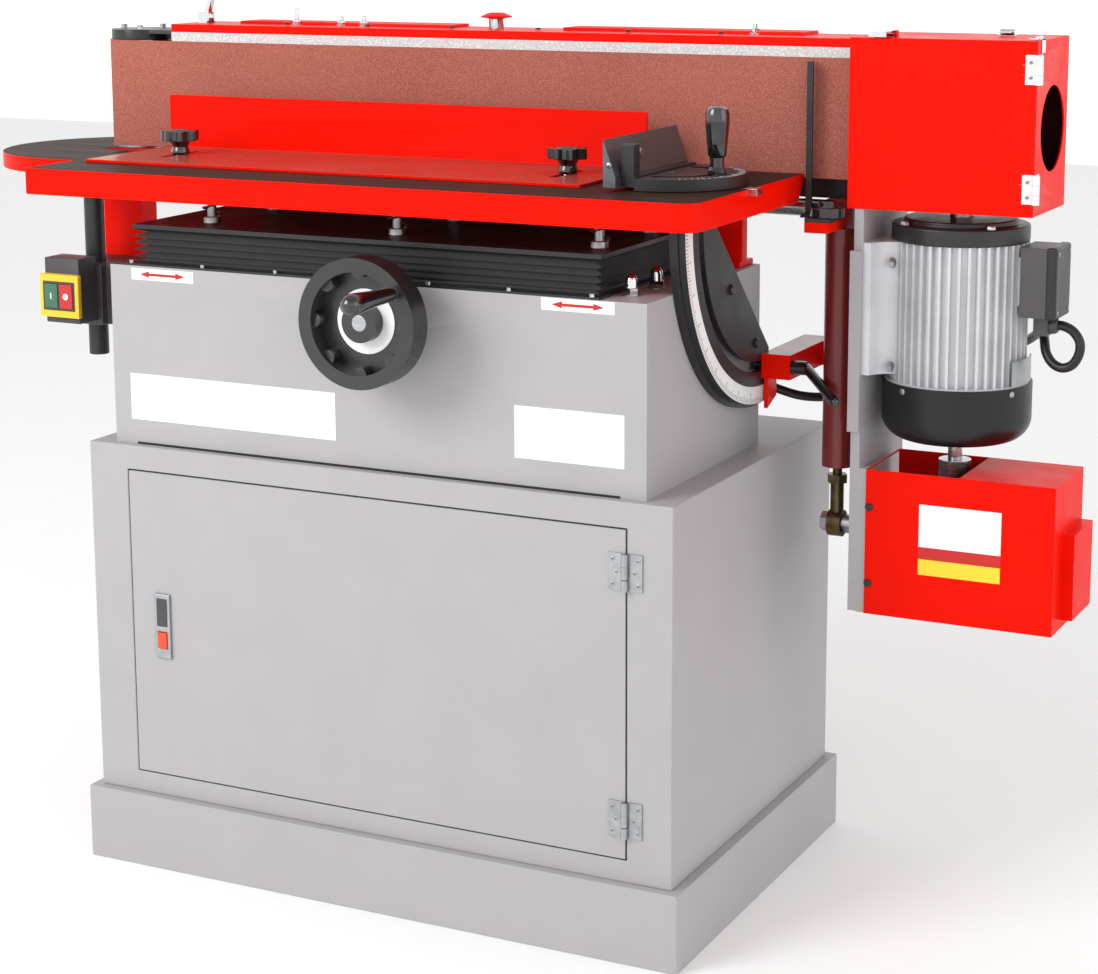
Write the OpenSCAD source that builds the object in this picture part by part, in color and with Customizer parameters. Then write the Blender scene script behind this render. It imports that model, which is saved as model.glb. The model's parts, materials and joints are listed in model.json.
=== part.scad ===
// Oscillating belt edge sander on a sheet-metal cabinet.
// +X runs along the belt to the right, +Y to the back, +Z up; the origin is on the floor
// under the middle of the cabinet. All lengths are in millimetres.

/* [Cabinet] */
// Width of the cabinet
cabinet_w = 840; // [760:5:900]
// Depth of the cabinet
cabinet_d = 531; // [500:1:600]
// Height of the cabinet between plinth and upper box
cabinet_h = 475; // [440:1:500]
// Height of the plinth
plinth_h = 100; // [80:1:120]
// Overhang of the plinth on every side
plinth_overhang = 13; // [6:1:25]
// Sheet thickness of plinth, cabinet and upper box
sheet_t = 3; // [2:0.5:4]
// Width of the cabinet door
door_w = 717; // [600:1:740]
// Height of the cabinet door
door_h = 411; // [300:1:420]
// Height of the door above the cabinet bottom
door_rise = 30; // [20:1:50]

/* [Upper box] */
// Width of the upper box
box_w = 765; // [740:1:800]
// Depth of the upper box
box_d = 353; // [330:1:360]
// Height of the upper box
box_h = 236; // [220:1:250]
// Setback of the box front behind the cabinet front
box_setback = 12.5; // [5:0.5:30]

/* [Table] */
// Length of the main table
table_l = 940; // [900:1:960]
// Depth of the main table
table_d = 348; // [300:1:350]
// Height of the table rim
table_rim_h = 34; // [28:1:36]
// Height of the table top above the floor
table_z = 936; // [934:1:945]
// Radius of the end table
end_table_r = 175; // [160:1:190]
// Diameter of the end table post
post_d = 28; // [24:1:36]
// Diameter of the handwheel
handwheel_d = 160; // [140:1:200]

/* [Sanding head] */
// Length of the sanding belt
belt_l = 2740; // [2700:5:2760]
// Width of the sanding belt
belt_w = 150; // [130:1:150]
// Height of the lower belt edge above the floor
belt_z = 930; // [928:1:940]
// Radius of the drive and idler drums
drum_r = 45; // [42:1:48]
// Radius of the dust port
dust_port_r = 52; // [40:1:60]
// Outer radius of the motor fins
motor_r = 85; // [80:1:88]
// Throw of the oscillating drive
throw = 2.5; // [1:0.5:3]

/* [Tilt] */
// Height of the tilt axis
tilt_z = 892; // [886:1:893]
// Radius of the quadrant rim
quadrant_r = 259; // [255:1:280]
// Radius of the clamp slot
slot_r = 206; // [200:1:215]
// Number of folds of the bellows
fold_count = 5; // [3:1:8]

/* [Hidden] */
$fn = 64;

// Clearances and the overrun of every cut
over = 1;
gap = 0.3;
run_fit = 0.05;
slide_fit = 0.3;

// Finishes as the solids show them
grey_paint = "#B9B8BB";
red_paint = "#F0280C";
dark_red = "#6E1A14";
black_part = "#26262A";
bright_steel = "#C9CCCF";
zinc = "#A9ACAE";
alu = "#D4D6D8";

// Levels and faces of the cabinet and the upper box
cabinet_top = plinth_h + cabinet_h;
box_top = cabinet_top + box_h;
box_end_inset = 40;
box_x1 = cabinet_w / 2 - box_end_inset;
box_x0 = box_x1 - box_w;
box_y0 = box_setback - cabinet_d / 2;
box_y1 = box_y0 + box_d;
box_flange_w = 30;
plinth_w = cabinet_w + 2 * plinth_overhang;
plinth_d = cabinet_d + 2 * plinth_overhang;
foot_flange_w = 45;
cabinet_y0 = -cabinet_d / 2;

// Cabinet door with its butt hinges and latch
door_gap = 2;
door_depth = 18;
door_edge = 61.5;
door_x0 = cabinet_w / 2 - door_edge - door_w;
door_z0 = plinth_h + door_rise;
leaf_t = 2;
leaf_w = 22;
leaf_h = 46;
barrel_r = 4.5;
pin_r = 2;
hinge_inset = 28;
hinge_x = door_x0 + door_w + door_gap / 2;
hinge_y = cabinet_y0 - barrel_r - gap;
hinge_zs = [door_z0 + hinge_inset, door_z0 + door_h - hinge_inset - leaf_h];
latch_w = 24;
latch_h = 88;
latch_t = 4;
latch_inset = 36;
latch_x0 = door_x0 + latch_inset;
latch_z0 = door_z0 + (door_h - latch_h) / 2;
latch_button_w = 14;
latch_button_h = 22;
latch_button_drop = 14;
latch_button_len = 8;

// Belt, drums and head levels
belt_t = 1.2;
belt_gap = 0.3;
belt_inner_r = drum_r + belt_gap;
belt_outer_r = belt_inner_r + belt_t;
drum_span = (belt_l - 2 * PI * (belt_inner_r + belt_t / 2)) / 2;
drive_reach = 264;
drive_x = box_x1 + drive_reach;
idler_x = drive_x - drum_span;
belt_front_y = 59;
drum_y = belt_front_y + belt_outer_r;
belt_top = belt_z + belt_w;

// Main table and its lift
table_gap = 7;
table_reach = 77;
table_x1 = box_x1 + table_reach;
table_x0 = table_x1 - table_l;
table_y1 = belt_front_y - table_gap;
table_y0 = table_y1 - table_d;
table_top_t = 12;
table_wall_t = 16;
table_back_wall = 38;
table_undercut = 22;
table_edge_h = 8;
table_corner_r = 26;
table_bottom = table_z - table_rim_h;
slot_y = -120;
slot_w = 19;
slot_deep = 9;
lift_plate_t = 6;
lift_drop = 38;
lift_plate_top = table_bottom - lift_drop;
lift_plate_z = lift_plate_top - lift_plate_t;
lift_y = -110;
lift_inset = 344;
lift_x = box_x1 - lift_inset;
column_r = 16;
column_reach = 195;
column_l = 246;
column_xs = [lift_x - column_reach, lift_x + column_reach];
stud_r = 6;
stud_nut_r = 11;
stud_nut_h = 8;
stud_ys = [-190, -40];
screw_r = 9;
nut_r = 16;
nut_l = 96;
screw_bottom = 612;
screw_top = 850;
bevel_r = 28;
bevel_t = 14;
bevel_z = 738;
shelf_z = 640;
shelf_t = 10;
shelf_d = 150;
bush_r = 24;
bush_h = 110;

// Bellows between the box and the lift plate
bellows_inset = 32;
bellows_front_inset = 8;
bellows_right_inset = 62;
bellows_back_y = 24;
bellows_fold = 14;
bellows_t = 1.5;
frame_t = 3;
bellows_z0 = box_top + frame_t;
bellows_z1 = lift_plate_z - gap;
bellows_x0 = box_x0 + bellows_inset;
bellows_x1 = box_x1 - bellows_right_inset;
bellows_y0 = box_y0 + bellows_front_inset;
stud_left_inset = 86;
stud_right_inset = 29;
stud_middle_shift = 27.5;
stud_xs = [bellows_x0 + stud_left_inset,
  (bellows_x0 + bellows_x1) / 2 + stud_middle_shift, bellows_x1 - stud_right_inset];
frame_bolt_r = 3.5;
frame_bolt_h = 4;
frame_bolt_pitch = 110;

// Spring on every levelling stud
spring_wire_r = 1.6;
spring_r = 11.5;
spring_turns = 3;
spring_rings = 8;
spring_sides = 6;
spring_end_gap = 0.05;

// Handwheel and crank
wheel_x = lift_x;
wheel_z = 775;
wheel_rim_t = 17;
wheel_depth = 34;
wheel_y0 = -338;
wheel_web_t = 8;
wheel_hub_r = 24;
wheel_shaft_r = 10;
wheel_lobes = 8;
lobe_r = 9;
shaft_boss_r = 24;
shaft_boss_l = 9;
pinion_r = 22.5;
pinion_t = 16;
pinion_y = -150;
grip_len = 92;
grip_r = 11;
grip_neck_r = 5;
grip_neck_l = 8;
grip_angle = 37.4;
grip_reach = 69;

// End table, its post and bracket
end_table_t = 22;
end_table_drop = 17;
end_table_z = table_z - end_table_drop;
end_shift_x = -48.4;
end_shift_y = 12.5;
end_x = idler_x + end_shift_x;
end_y = drum_y + end_shift_y;
end_table_right = table_x0 - table_gap;
head_pass_gap = 18;
post_shift = 60.2;
post_x = end_x + post_shift;
post_y = -40;
post_bottom = 643;
post_boss_r = 26;
post_boss_h = 28;
clamp_h = 86;
clamp_z = 690;
clamp_wall = 18;
arm_t = 40;
bracket_col_w = 64;
bracket_col_d = 40;
bracket_col_inset = 30;
bracket_col_x = post_x - bracket_col_inset;
bracket_col_y = 22;
bracket_z0 = 700;

// Push-button switch
switch_w = 58;
switch_h = 91;
switch_inset = 34;
switch_x = post_x - switch_inset;
switch_y = -112;
switch_z = 697;
switch_plate_w = 66;
switch_plate_h = 60;
switch_plate_t = 8;
switch_plate_drop = 6.5;
button_w = 22;
button_h = 34;
button_len = 12;
button_proud = 2;
button_gap = 3;
button_press = 2;

// Fence, its knobs and the mitre gauge
mitre_inset = 105;
mitre_face_reach = 41;
mitre_x = table_x1 - mitre_inset;
mitre_face_x = mitre_x - mitre_face_reach;
fence_end_gap = 41;
fence_l = 725;
fence_x1 = mitre_face_x - fence_end_gap;
fence_x0 = fence_x1 - fence_l;
fence_h = 75;
fence_t = 4;
fence_back_y = -8;
fence_base_d = 197;
fence_slot_l = 90;
knob_r = 26;
knob_hub_r = 12;
knob_h = 16;
knob_neck_h = 18;
knob_stud_r = 5;
knob_lobes = 6;
knob_left_inset = 78;
knob_right_inset = 67;
knob_xs = [fence_x0 + knob_left_inset, fence_x1 - knob_right_inset];
knob_y = -100;
mitre_face_t = 16;
mitre_face_l = 214;
mitre_face_h = 56;
mitre_back_t = 18;
mitre_disc_r = 92;
mitre_disc_t = 14;
mitre_bar_l = 150;
mitre_bar_lead = 36;
mitre_pivot_r = 6;
mitre_lift = 1;
mitre_face_lift = 4;
grip_swing = 59;
grip_x = mitre_x + grip_swing;
mitre_grip_r = 15;
mitre_grip_h = 80;
mitre_grip_neck = 12;

// Tilt axis with the quadrant and the clamp
tilt_y = 67;
tilt_shaft_r = 11;
pivot_wall = 5;
pivot_w = 42;
pivot_inset = 8;
pivot_end_gap = 20;
pivot_left_x = max(box_x0 + pivot_inset, end_table_right + pivot_end_gap);
tilt_shaft_over = 13;
tilt_shaft_x0 = pivot_left_x - tilt_shaft_over;
pivot_foot_t = 8;
pivot_front = 17;
pivot_neck = 9;
pivot_back = 30;
quadrant_x = box_x1;
quadrant_plate_t = 8;
quadrant_stand = 11;
quadrant_rim_t = 5;
quadrant_edge = 118;
quadrant_top_gap = 2;
quadrant_back = 19;
slot_half_w = 7;
clamp_stud_r = 6;
clamp_block_x = quadrant_x + quadrant_stand + quadrant_plate_t + gap;
clamp_block_l = 39;
clamp_block_front = 7;
clamp_block_back = 148;
clamp_block_h = 32;
column_tube_r = 20;
tube_wall = 5;
tube_reach = 124.5;
tube_x = box_x1 + tube_reach;
tube_y = 60;
tube_bottom = 566;
tube_top_drop = 22;
column_head_w = 34;
column_head_rise = 14;
arm_back = 38;
pointer_t = 5;
pointer_gap = 2;
pointer_w = 31;
pointer_l = 56;
pointer_back_l = 44;
pointer_front = 2;
lever_hub_r = 9;
lever_hub_l = 20;
lever_r = 6.5;
lever_tip = [60, -61, -27];
guide_r = 9;
guide_left_inset = 85;
guide_right_inset = 130;
guide_xs = [box_x0 + guide_left_inset, box_x1 - guide_right_inset];
guide_y = 100;
guide_top_gap = 24;
lug_w = 28;
lug_t = 18;

// Rod end on the oscillating drive
rod_x = tube_x;
rod_z = 491;
rod_eye_r = 17;
rod_eye_w = 18;
rod_body_r = 8.5;
rod_nut_r = 13;
rod_nut_h = 11;
rod_stud_r = 6;
ecc_pin_r = 5;
ecc_shaft_r = 12;
ecc_open = 0.5;
worm_r = 16;
worm_gap = 1;

// Work stop at the right end of the platen
stop_table_gap = 4;
stop_x = table_x1 + stop_table_gap;
stop_w = 16;
stop_t = 4;
stop_leg_d = 14;
stop_belt_gap = 5;
stop_foot_z = 884;
stop_foot_t = 5;
stop_bracket_t = 13;
stop_bracket_shift = 21;
stop_bracket_x = stop_x + stop_bracket_shift;
stop_bracket_w = 30;
stop_knob_shift = 0.5;
stop_knob_x = tube_x - stop_knob_shift;
stop_knob_y = 8;
stop_knob_r = 21;
stop_knob_h = 12;
stop_hub_r = 11;
stop_hub_h = 8;
stop_stud_r = 4;
stop_travel = 20;

// Head frame, platen and covers
platen_gap = 0.3;
platen_t = 8;
platen_inset = 81.8;
platen_x0 = idler_x + platen_inset;
platen_rise = 13;
platen_drop = 10;
frame_web_t = 6;
frame_end_gap = 118;
frame_x1 = drive_x - frame_end_gap;
frame_depth = 76;
frame_flange_t = 8;
bush_wall = 7;
cover_t = 2;
cover_h = 11;
cover_back_gap = 6;
raised_t = 4;
raised_start_shares = [0.085, 0.58];
raised_len_share = 0.33;
beam_reach = 74.5;
beam_x0 = tube_x - beam_reach;
beam_y0 = 92;
beam_z0 = 850;
beam_t = 20;
hood_x0 = frame_x1;
hood_reach = 113;
hood_x1 = drive_x + hood_reach;
hood_y0 = 20;
hood_depth = 141;
hood_z0 = 900;
hood_h = 208;
hood_t = 2;
port_y = 96;
port_z = 1000;
door_lip = 14;
hood_hinge_inset = 16;
hood_hinge_h = 35;
hood_hinge_zs = [hood_z0 + hood_hinge_inset, hood_z0 + hood_h - hood_hinge_inset - hood_hinge_h];
catch_inset = 26;
catch_x = hood_x0 + catch_inset;
catch_w = 22;
catch_l = 34;
catch_t = 3;
catch_pin_r = 2;
catch_barrel_r = 4;
catch_hook = 3;
catch_y = 44;

// Idler slide, tension lever and tracking knob
arm_w = 60;
arm_thick = 6;
arm_reach = 181.8;
arm_end_x = idler_x + arm_reach;
cap_r = 44;
axle_r = 12;
cap_bolt_r = 5;
cap_bolt_h = 6;
cap_bolt_pcd_r = 32;
lever_reach = 111.8;
lever_x = idler_x + lever_reach;
lever_ear_t = 4;
lever_ear_h = 16;
lever_len = 30;
lever_w = 12;
lever_bar_t = 6;
lever_bar_inset = 1;
lever_pin_r = 3;
lever_lean = 20;
track_reach = 591.8;
track_x = idler_x + track_reach;
track_y = 79;
track_stem_r = 10;
track_cap_r = 21;
track_cap_h = 9;
track_stem_h = 14;

// Motor, its plate, terminal box and gear cover
plate_gap = 97;
plate_x1 = drive_x - plate_gap;
plate_w = 12;
plate_t = 5;
plate_y0 = 20;
plate_d = 170;
plate_z0 = 390;
bar_w = 15;
bar_d = 6;
bar_z0 = 621;
bar_h = 227;
motor_z0 = 683;
motor_h = 175;
fin_count = 44;
fin_t = 3.2;
fin_deep = 8;
motor_bore_r = 50;
motor_flange_t = 5;
boss_w = 50;
boss_h = 60;
foot_pad_t = 10;
foot_half = 84;
foot_reach = 41;
foot_flare = 27;
foot_reach_shares = [0, 0.24, 0.37, 0.61, 1];
foot_flare_shares = [0, 0, 0.37, 0.74, 1];
bell_r = 85;
bell_h = 28;
bell_step_r = 70;
bell_step_h = 7;
fan_r = 93;
fan_h = 75;
fan_round = 30;
fan_wall = 3;
fan_vent_r = 30;
shaft_r = 14;
tail_r = 9;
rotor_r = 46;
rotor_inset = 25;
fan_disc_r = 72;
fan_disc_t = 14;
fan_disc_z = 622;
shaft_bottom = 440;
collar_r = 20.5;
collar_h = 23;
collar_z = 556;
term_w = 44;
term_d = 64;
term_h = 86;
term_z = 770;
boss_inset = 13;
gland_r = 10;
gland_h = 25;
neck_inset = 12;
neck_l = 18;
neck_w = 26;
gear_reach = 153;
gear_x1 = drive_x + gear_reach;
gear_set = 10;
gear_strip_d = 16;
gear_x0 = plate_x1 + gear_set;
gear_y0 = 18;
gear_d = 130;
gear_z0 = 389;
gear_h = 186;
gear_t = 2;
gear_open_l = 129;
gear_step_x = 14;
gear_step_y = 42;
gear_step_z = 11;
gear_step_h = 108;

// Motor lead: the points are chosen by hand along its route
lead_r = 6;
lead_sides = 8;
clip_y = 196;
clip_z = 656;
clip_r = 10;
loop_route = [[765, 109, 757], [775, 109, 757.5], [788, 107, 752], [797, 105, 740], [797, 104, 725],
  [789, 104, 711], [776, 105, 706], [763, 108, 711], [754, 113, 722], [749, 122, 735], [744, 135, 741],
  [734, 154, 740], [722, 174, 731], [706, 192, 720], [676, 206, 706], [632, 212, 692], [596, 210, 676],
  [566, 196, 656], [547, 196, 656]];
span_route = [[535, 196, 656], [518, 196, 656], [494, 190, 643], [472, 179, 634], [446, 165, 630],
  [420, 151, 632], [396, 139, 640], [372, 128, 651], [352, 118, 660], [346, 110, 662], [346, 100, 662]];

// A block given by its lowest corner and its size
module block(p, s) {
  translate(p) cube(s);
}

// A rod along X, Y or Z from its start point
module rod_along_x(p, r, l) {
  translate(p) rotate([0, 90, 0]) cylinder(r = r, h = l);
}

module rod_along_y(p, r, l) {
  translate(p) rotate([-90, 0, 0]) cylinder(r = r, h = l);
}

module rod_along_z(p, r, l) {
  translate(p) cylinder(r = r, h = l);
}

// A flat plate with round corners
module round_plate(p, w, d, h, r) {
  translate(p) linear_extrude(h) {
    translate([r, 0]) square([w - 2 * r, d]);
    translate([0, r]) square([w, d - 2 * r]);
    for (cx = [r, w - r], cy = [r, d - r]) translate([cx, cy]) circle(r);
  }
}

// A sheet-metal box with closed walls all round
module sheet_box(p, s, t) {
  difference() {
    block(p, s);
    block(p + [t, t, t], s - 2 * [t, t, t]);
  }
}

// Rings of points round a route, and the tube through them
function unit(v) = v / norm(v);
function heading(path, i) = unit(path[min(i + 1, len(path) - 1)] - path[max(i - 1, 0)]);
function side_axis(d) = unit(cross(d, abs(d[2]) < 0.8 ? [0, 0, 1] : [1, 0, 0]));
function ring(c, d, r, n) = let (a = side_axis(d), b = cross(d, a))
  [for (k = [0 : n - 1]) c + r * (cos(360 * k / n) * a + sin(360 * k / n) * b)];
function tube_points(path, r, n) = [for (i = [0 : len(path) - 1]) each ring(path[i], heading(path, i), r, n)];
function tube_faces(m, n) = concat(
  [for (i = [0 : m - 2], k = [0 : n - 1]) [i * n + k, i * n + (k + 1) % n, (i + 1) * n + k]],
  [for (i = [0 : m - 2], k = [0 : n - 1]) [i * n + (k + 1) % n, (i + 1) * n + (k + 1) % n, (i + 1) * n + k]],
  [for (k = [1 : n - 2]) [0, k + 1, k]],
  [for (k = [1 : n - 2]) [(m - 1) * n, (m - 1) * n + k, (m - 1) * n + k + 1]]);

module tube_along(path, r, n) {
  polyhedron(points = tube_points(path, r, n),
    faces = [for (f = tube_faces(len(path), n)) [f[0], f[2], f[1]]]);
}

// Plinth with a foot flange on the floor
module plinth() {
  color(grey_paint) difference() {
    sheet_box([-plinth_w / 2, -plinth_d / 2, 0], [plinth_w, plinth_d, plinth_h], sheet_t);
    block([foot_flange_w - plinth_w / 2, foot_flange_w - plinth_d / 2, -over],
      [plinth_w - 2 * foot_flange_w, plinth_d - 2 * foot_flange_w, sheet_t + 2 * over]);
  }
}

module cabinet() {
  color(grey_paint) difference() {
    sheet_box([-cabinet_w / 2, cabinet_y0, plinth_h], [cabinet_w, cabinet_d, cabinet_h], sheet_t);
    block([door_x0 - door_gap, cabinet_y0 - over, door_z0 - door_gap],
      [door_w + 2 * door_gap, sheet_t + 2 * over, door_h + 2 * door_gap]);
  }
}

// Upper box, open on top, with the bearing of the handwheel shaft in its front
module upper_box() {
  color(grey_paint) difference() {
    union() {
      sheet_box([box_x0, box_y0, cabinet_top], [box_w, box_d, box_h], sheet_t);
      rod_along_y([wheel_x, box_y0 - shaft_boss_l, wheel_z], shaft_boss_r, shaft_boss_l + sheet_t);
    }
    block([box_x0 + box_flange_w, box_y0 + box_flange_w, box_top - sheet_t - over],
      [bellows_x1 - bellows_fold - box_x0 - box_flange_w,
      bellows_back_y - bellows_fold - box_y0 - box_flange_w, sheet_t + 2 * over]);
    rod_along_y([wheel_x, box_y0 - shaft_boss_l - over, wheel_z], wheel_shaft_r + run_fit,
      shaft_boss_l + sheet_t + 2 * over);
  }
}

// Quadrant: a segment of a disc round the tilt axis, with the arc slot of the clamp
module quadrant_segment(r) {
  intersection() {
    circle(r);
    rotate(225) translate([quadrant_edge, -quadrant_r]) square([quadrant_r, 2 * quadrant_r]);
    translate([-quadrant_r, -quadrant_r])
      square([quadrant_r + quadrant_back, quadrant_r + table_bottom - quadrant_top_gap - tilt_z]);
  }
}

module on_tilt_plane(x) {
  translate([x, tilt_y, tilt_z]) rotate([90, 0, 90]) children();
}

module quadrant() {
  color(black_part) {
    on_tilt_plane(quadrant_x + quadrant_stand) linear_extrude(quadrant_plate_t) difference() {
      quadrant_segment(quadrant_r - quadrant_rim_t);
      intersection() {
        difference() {
          circle(slot_r + slot_half_w);
          circle(slot_r - slot_half_w);
        }
        rotate(180) translate([-slot_half_w, -slot_half_w]) square([quadrant_r, quadrant_r]);
      }
    }
    on_tilt_plane(quadrant_x) linear_extrude(quadrant_stand) difference() {
      quadrant_segment(quadrant_r);
      circle(quadrant_r - 2 * quadrant_rim_t);
    }
  }
}

// Brackets on the back corners of the box that carry the tilt shaft
module pivot_bracket(x) {
  difference() {
    union() {
      block([x, tilt_y - pivot_front, box_top], [pivot_w, pivot_front + pivot_back, pivot_foot_t]);
      block([x, tilt_y - pivot_neck, box_top], [pivot_w, 2 * pivot_neck, tilt_z - box_top]);
      rod_along_x([x, tilt_y, tilt_z], tilt_shaft_r + pivot_wall, pivot_w);
    }
    rod_along_x([x - over, tilt_y, tilt_z], tilt_shaft_r + run_fit, pivot_w + 2 * over);
  }
}

module pivot_brackets() {
  color(red_paint) {
    pivot_bracket(pivot_left_x);
    pivot_bracket(box_x1 - pivot_inset - pivot_w);
  }
}

// Web under the end table that runs beside the post clamp
module end_bracket() {
  top = end_table_z - end_table_t;
  color(red_paint) block([bracket_col_x, bracket_col_y + gap, bracket_z0],
    [bracket_col_w, bracket_col_d, top - bracket_z0]);
}

module post_clamp() {
  r = post_d / 2 + clamp_wall;
  color(black_part) difference() {
    union() {
      block([post_x - r, post_y - r, clamp_z], [2 * r, bracket_col_y - post_y + r, clamp_h]);
      block([post_x, post_y - arm_t / 2, clamp_z], [box_x0 - post_x, arm_t, clamp_h]);
    }
    rod_along_z([post_x, post_y, clamp_z - over], post_d / 2 + run_fit, clamp_h + 2 * over);
  }
}

// Switch housing with its raised button plate
switch_plate_x = switch_x + (switch_w - switch_plate_w) / 2;
switch_plate_z = switch_z + (switch_h - switch_plate_h) / 2 - switch_plate_drop;
button_z = switch_plate_z + (switch_plate_h - button_h) / 2;
start_x = switch_plate_x + switch_plate_w / 2 - button_gap / 2 - button_w;
stop_button_x = switch_plate_x + switch_plate_w / 2 + button_gap / 2;
button_y = switch_y - switch_plate_t - button_proud;

module switch_housing() {
  clamp_r = post_d / 2 + clamp_wall;
  color(black_part) difference() {
    union() {
      block([switch_x, switch_y, switch_z], [switch_w, post_y - clamp_r - switch_y, switch_h]);
      block([switch_plate_x, switch_y - switch_plate_t, switch_plate_z],
        [switch_plate_w, switch_plate_t, switch_plate_h]);
    }
    for (x = [start_x, stop_button_x])
      block([x - slide_fit, switch_y - switch_plate_t - over, button_z - slide_fit],
        [button_w + 2 * slide_fit, button_len + button_press + over, button_h + 2 * slide_fit]);
  }
}

module push_button(x) {
  block([x, button_y, button_z], [button_w, button_len, button_h]);
}

module start_button() {
  color("#2E8B4A") push_button(start_x);
}

module stop_button() {
  color("#D02A1C") push_button(stop_button_x);
}

// Pleated bellows: a zigzag wall taken round the lift opening
function bellows_corner(k, inset) = let (c = [[bellows_x0, bellows_y0], [bellows_x1, bellows_y0],
  [bellows_x1, bellows_back_y], [bellows_x0, bellows_back_y]], s = [[1, 1], [-1, 1], [-1, -1], [1, -1]])
  [c[k][0] + s[k][0] * inset, c[k][1] + s[k][1] * inset];
function bellows_ring(i, wall) = let (z = bellows_z0 + (bellows_z1 - bellows_z0) * i / (2 * fold_count),
  inset = (i % 2) * bellows_fold + wall) [for (k = [0 : 3]) [each bellows_corner(k, inset), z]];

module bellows() {
  levels = 2 * fold_count + 1;
  outer = [for (i = [0 : levels - 1]) each bellows_ring(i, 0)];
  inner = [for (i = [0 : levels - 1]) each bellows_ring(i, bellows_t)];
  n = len(outer);
  walls = [for (i = [0 : levels - 2], k = [0 : 3]) let (a = 4 * i + k, b = 4 * i + (k + 1) % 4)
    each [[a, a + 4, b], [b, a + 4, b + 4], [n + a, n + b, n + a + 4], [n + b, n + b + 4, n + a + 4]]];
  top = 4 * (levels - 1);
  rims = [for (k = [0 : 3]) let (j = (k + 1) % 4)
    each [[k, j, n + j], [k, n + j, n + k], [top + k, n + top + j, top + j],
      [top + k, n + top + k, n + top + j]]];
  color(black_part) polyhedron(points = concat(outer, inner), faces = concat(walls, rims));
}

// Clamp strip of the bellows on the box rim, with its pan-head bolts
bolt_count = floor((bellows_x1 - bellows_x0) / frame_bolt_pitch) + 1;

module bellows_frame() {
  w = bellows_x1 - box_x0;
  d = box_d - (box_y1 - bellows_back_y) + bellows_front_inset;
  color(black_part) difference() {
    block([box_x0, box_y0, box_top], [w, d, frame_t]);
    block([bellows_x0 + bellows_fold, bellows_y0 + bellows_fold, box_top - over],
      [bellows_x1 - bellows_x0 - 2 * bellows_fold, bellows_back_y - bellows_y0 - 2 * bellows_fold,
      frame_t + 2 * over]);
  }
  color(bright_steel) for (i = [0 : bolt_count - 1])
    rod_along_z([bellows_x0 + i * frame_bolt_pitch, box_y0 + bellows_front_inset / 2, box_top + frame_t],
      frame_bolt_r, frame_bolt_h);
}

// Shelf inside the box with the guide bushes and the thrust seat of the lift screw
module lift_bushes() {
  color(zinc) difference() {
    union() {
      block([box_x0 + sheet_t, lift_y - shelf_d / 2, shelf_z], [box_w - 2 * sheet_t, shelf_d, shelf_t]);
      for (x = column_xs) rod_along_z([x, lift_y, shelf_z], bush_r, bush_h);
      rod_along_z([lift_x, lift_y, shelf_z], bush_r, 2 * shelf_t);
    }
    for (x = column_xs) rod_along_z([x, lift_y, shelf_z - over], column_r + run_fit, bush_h + 2 * over);
    rod_along_z([lift_x, lift_y, shelf_z - over], screw_r + run_fit, 2 * shelf_t + 2 * over);
  }
}

// Butt hinge: fixed leaf with the two outer knuckles and the pin

module hinge_fixed(x, y, z, h, face_y, side) {
  k = h / 3;
  difference() {
    union() {
      for (dz = [0, 2 * k]) rod_along_z([x, y, z + dz], barrel_r, k - gap);
      for (dz = [0, 2 * k])
        block([min(x, x + side * leaf_w), face_y - leaf_t, z + dz], [leaf_w, leaf_t, k - gap]);
      block([x + side * barrel_r + min(0, side * (leaf_w - barrel_r)), face_y - leaf_t, z],
        [leaf_w - barrel_r, leaf_t, h - gap]);
    }
    rod_along_z([x, y, z + k - gap - over], barrel_r + gap, k + gap + over);
  }
  rod_along_z([x, y, z], pin_r, h - gap);
}

module hinge_moving(x, y, z, h, face_y, side) {
  k = h / 3;
  difference() {
    union() {
      rod_along_z([x, y, z + k], barrel_r, k - gap);
      block([min(x, x + side * leaf_w), face_y - leaf_t, z + k], [leaf_w, leaf_t, k - gap]);
      block([x + side * (barrel_r + gap) + min(0, side * (leaf_w - barrel_r)), face_y - leaf_t, z],
        [leaf_w - barrel_r, leaf_t, h - gap]);
    }
    rod_along_z([x, y, z - over], pin_r + run_fit, h + 2 * over);
  }
}

module door_hinges() {
  color(zinc) for (z = hinge_zs) hinge_fixed(hinge_x, hinge_y, z, leaf_h, cabinet_y0, 1);
}

module cabinet_door() {
  button_x = latch_x0 + (latch_w - latch_button_w) / 2;
  color(grey_paint) {
    difference() {
      block([door_x0, cabinet_y0, door_z0], [door_w, door_depth, door_h]);
      block([door_x0 + sheet_t, cabinet_y0 + sheet_t, door_z0 + sheet_t],
        [door_w - 2 * sheet_t, door_depth, door_h - 2 * sheet_t]);
      block([button_x - slide_fit, cabinet_y0 - over, latch_z0 + latch_button_drop - slide_fit],
        [latch_button_w + 2 * slide_fit, door_depth, latch_button_h + 2 * slide_fit]);
    }
    for (z = hinge_zs) hinge_moving(hinge_x, hinge_y, z, leaf_h, cabinet_y0, -1);
  }
}

// Push latch on the door
module latch_case() {
  button_x = latch_x0 + (latch_w - latch_button_w) / 2;
  color(zinc) difference() {
    block([latch_x0, cabinet_y0 - latch_t, latch_z0], [latch_w, latch_t, latch_h]);
    block([button_x - slide_fit, cabinet_y0 - latch_t - over, latch_z0 + latch_button_drop - slide_fit],
      [latch_button_w + 2 * slide_fit, latch_t + 2 * over, latch_button_h + 2 * slide_fit]);
  }
}

module latch_button() {
  button_x = latch_x0 + (latch_w - latch_button_w) / 2;
  color("#E0491E") block([button_x, cabinet_y0 - latch_t - button_proud, latch_z0 + latch_button_drop],
    [latch_button_w, latch_button_len, latch_button_h]);
}

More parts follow.
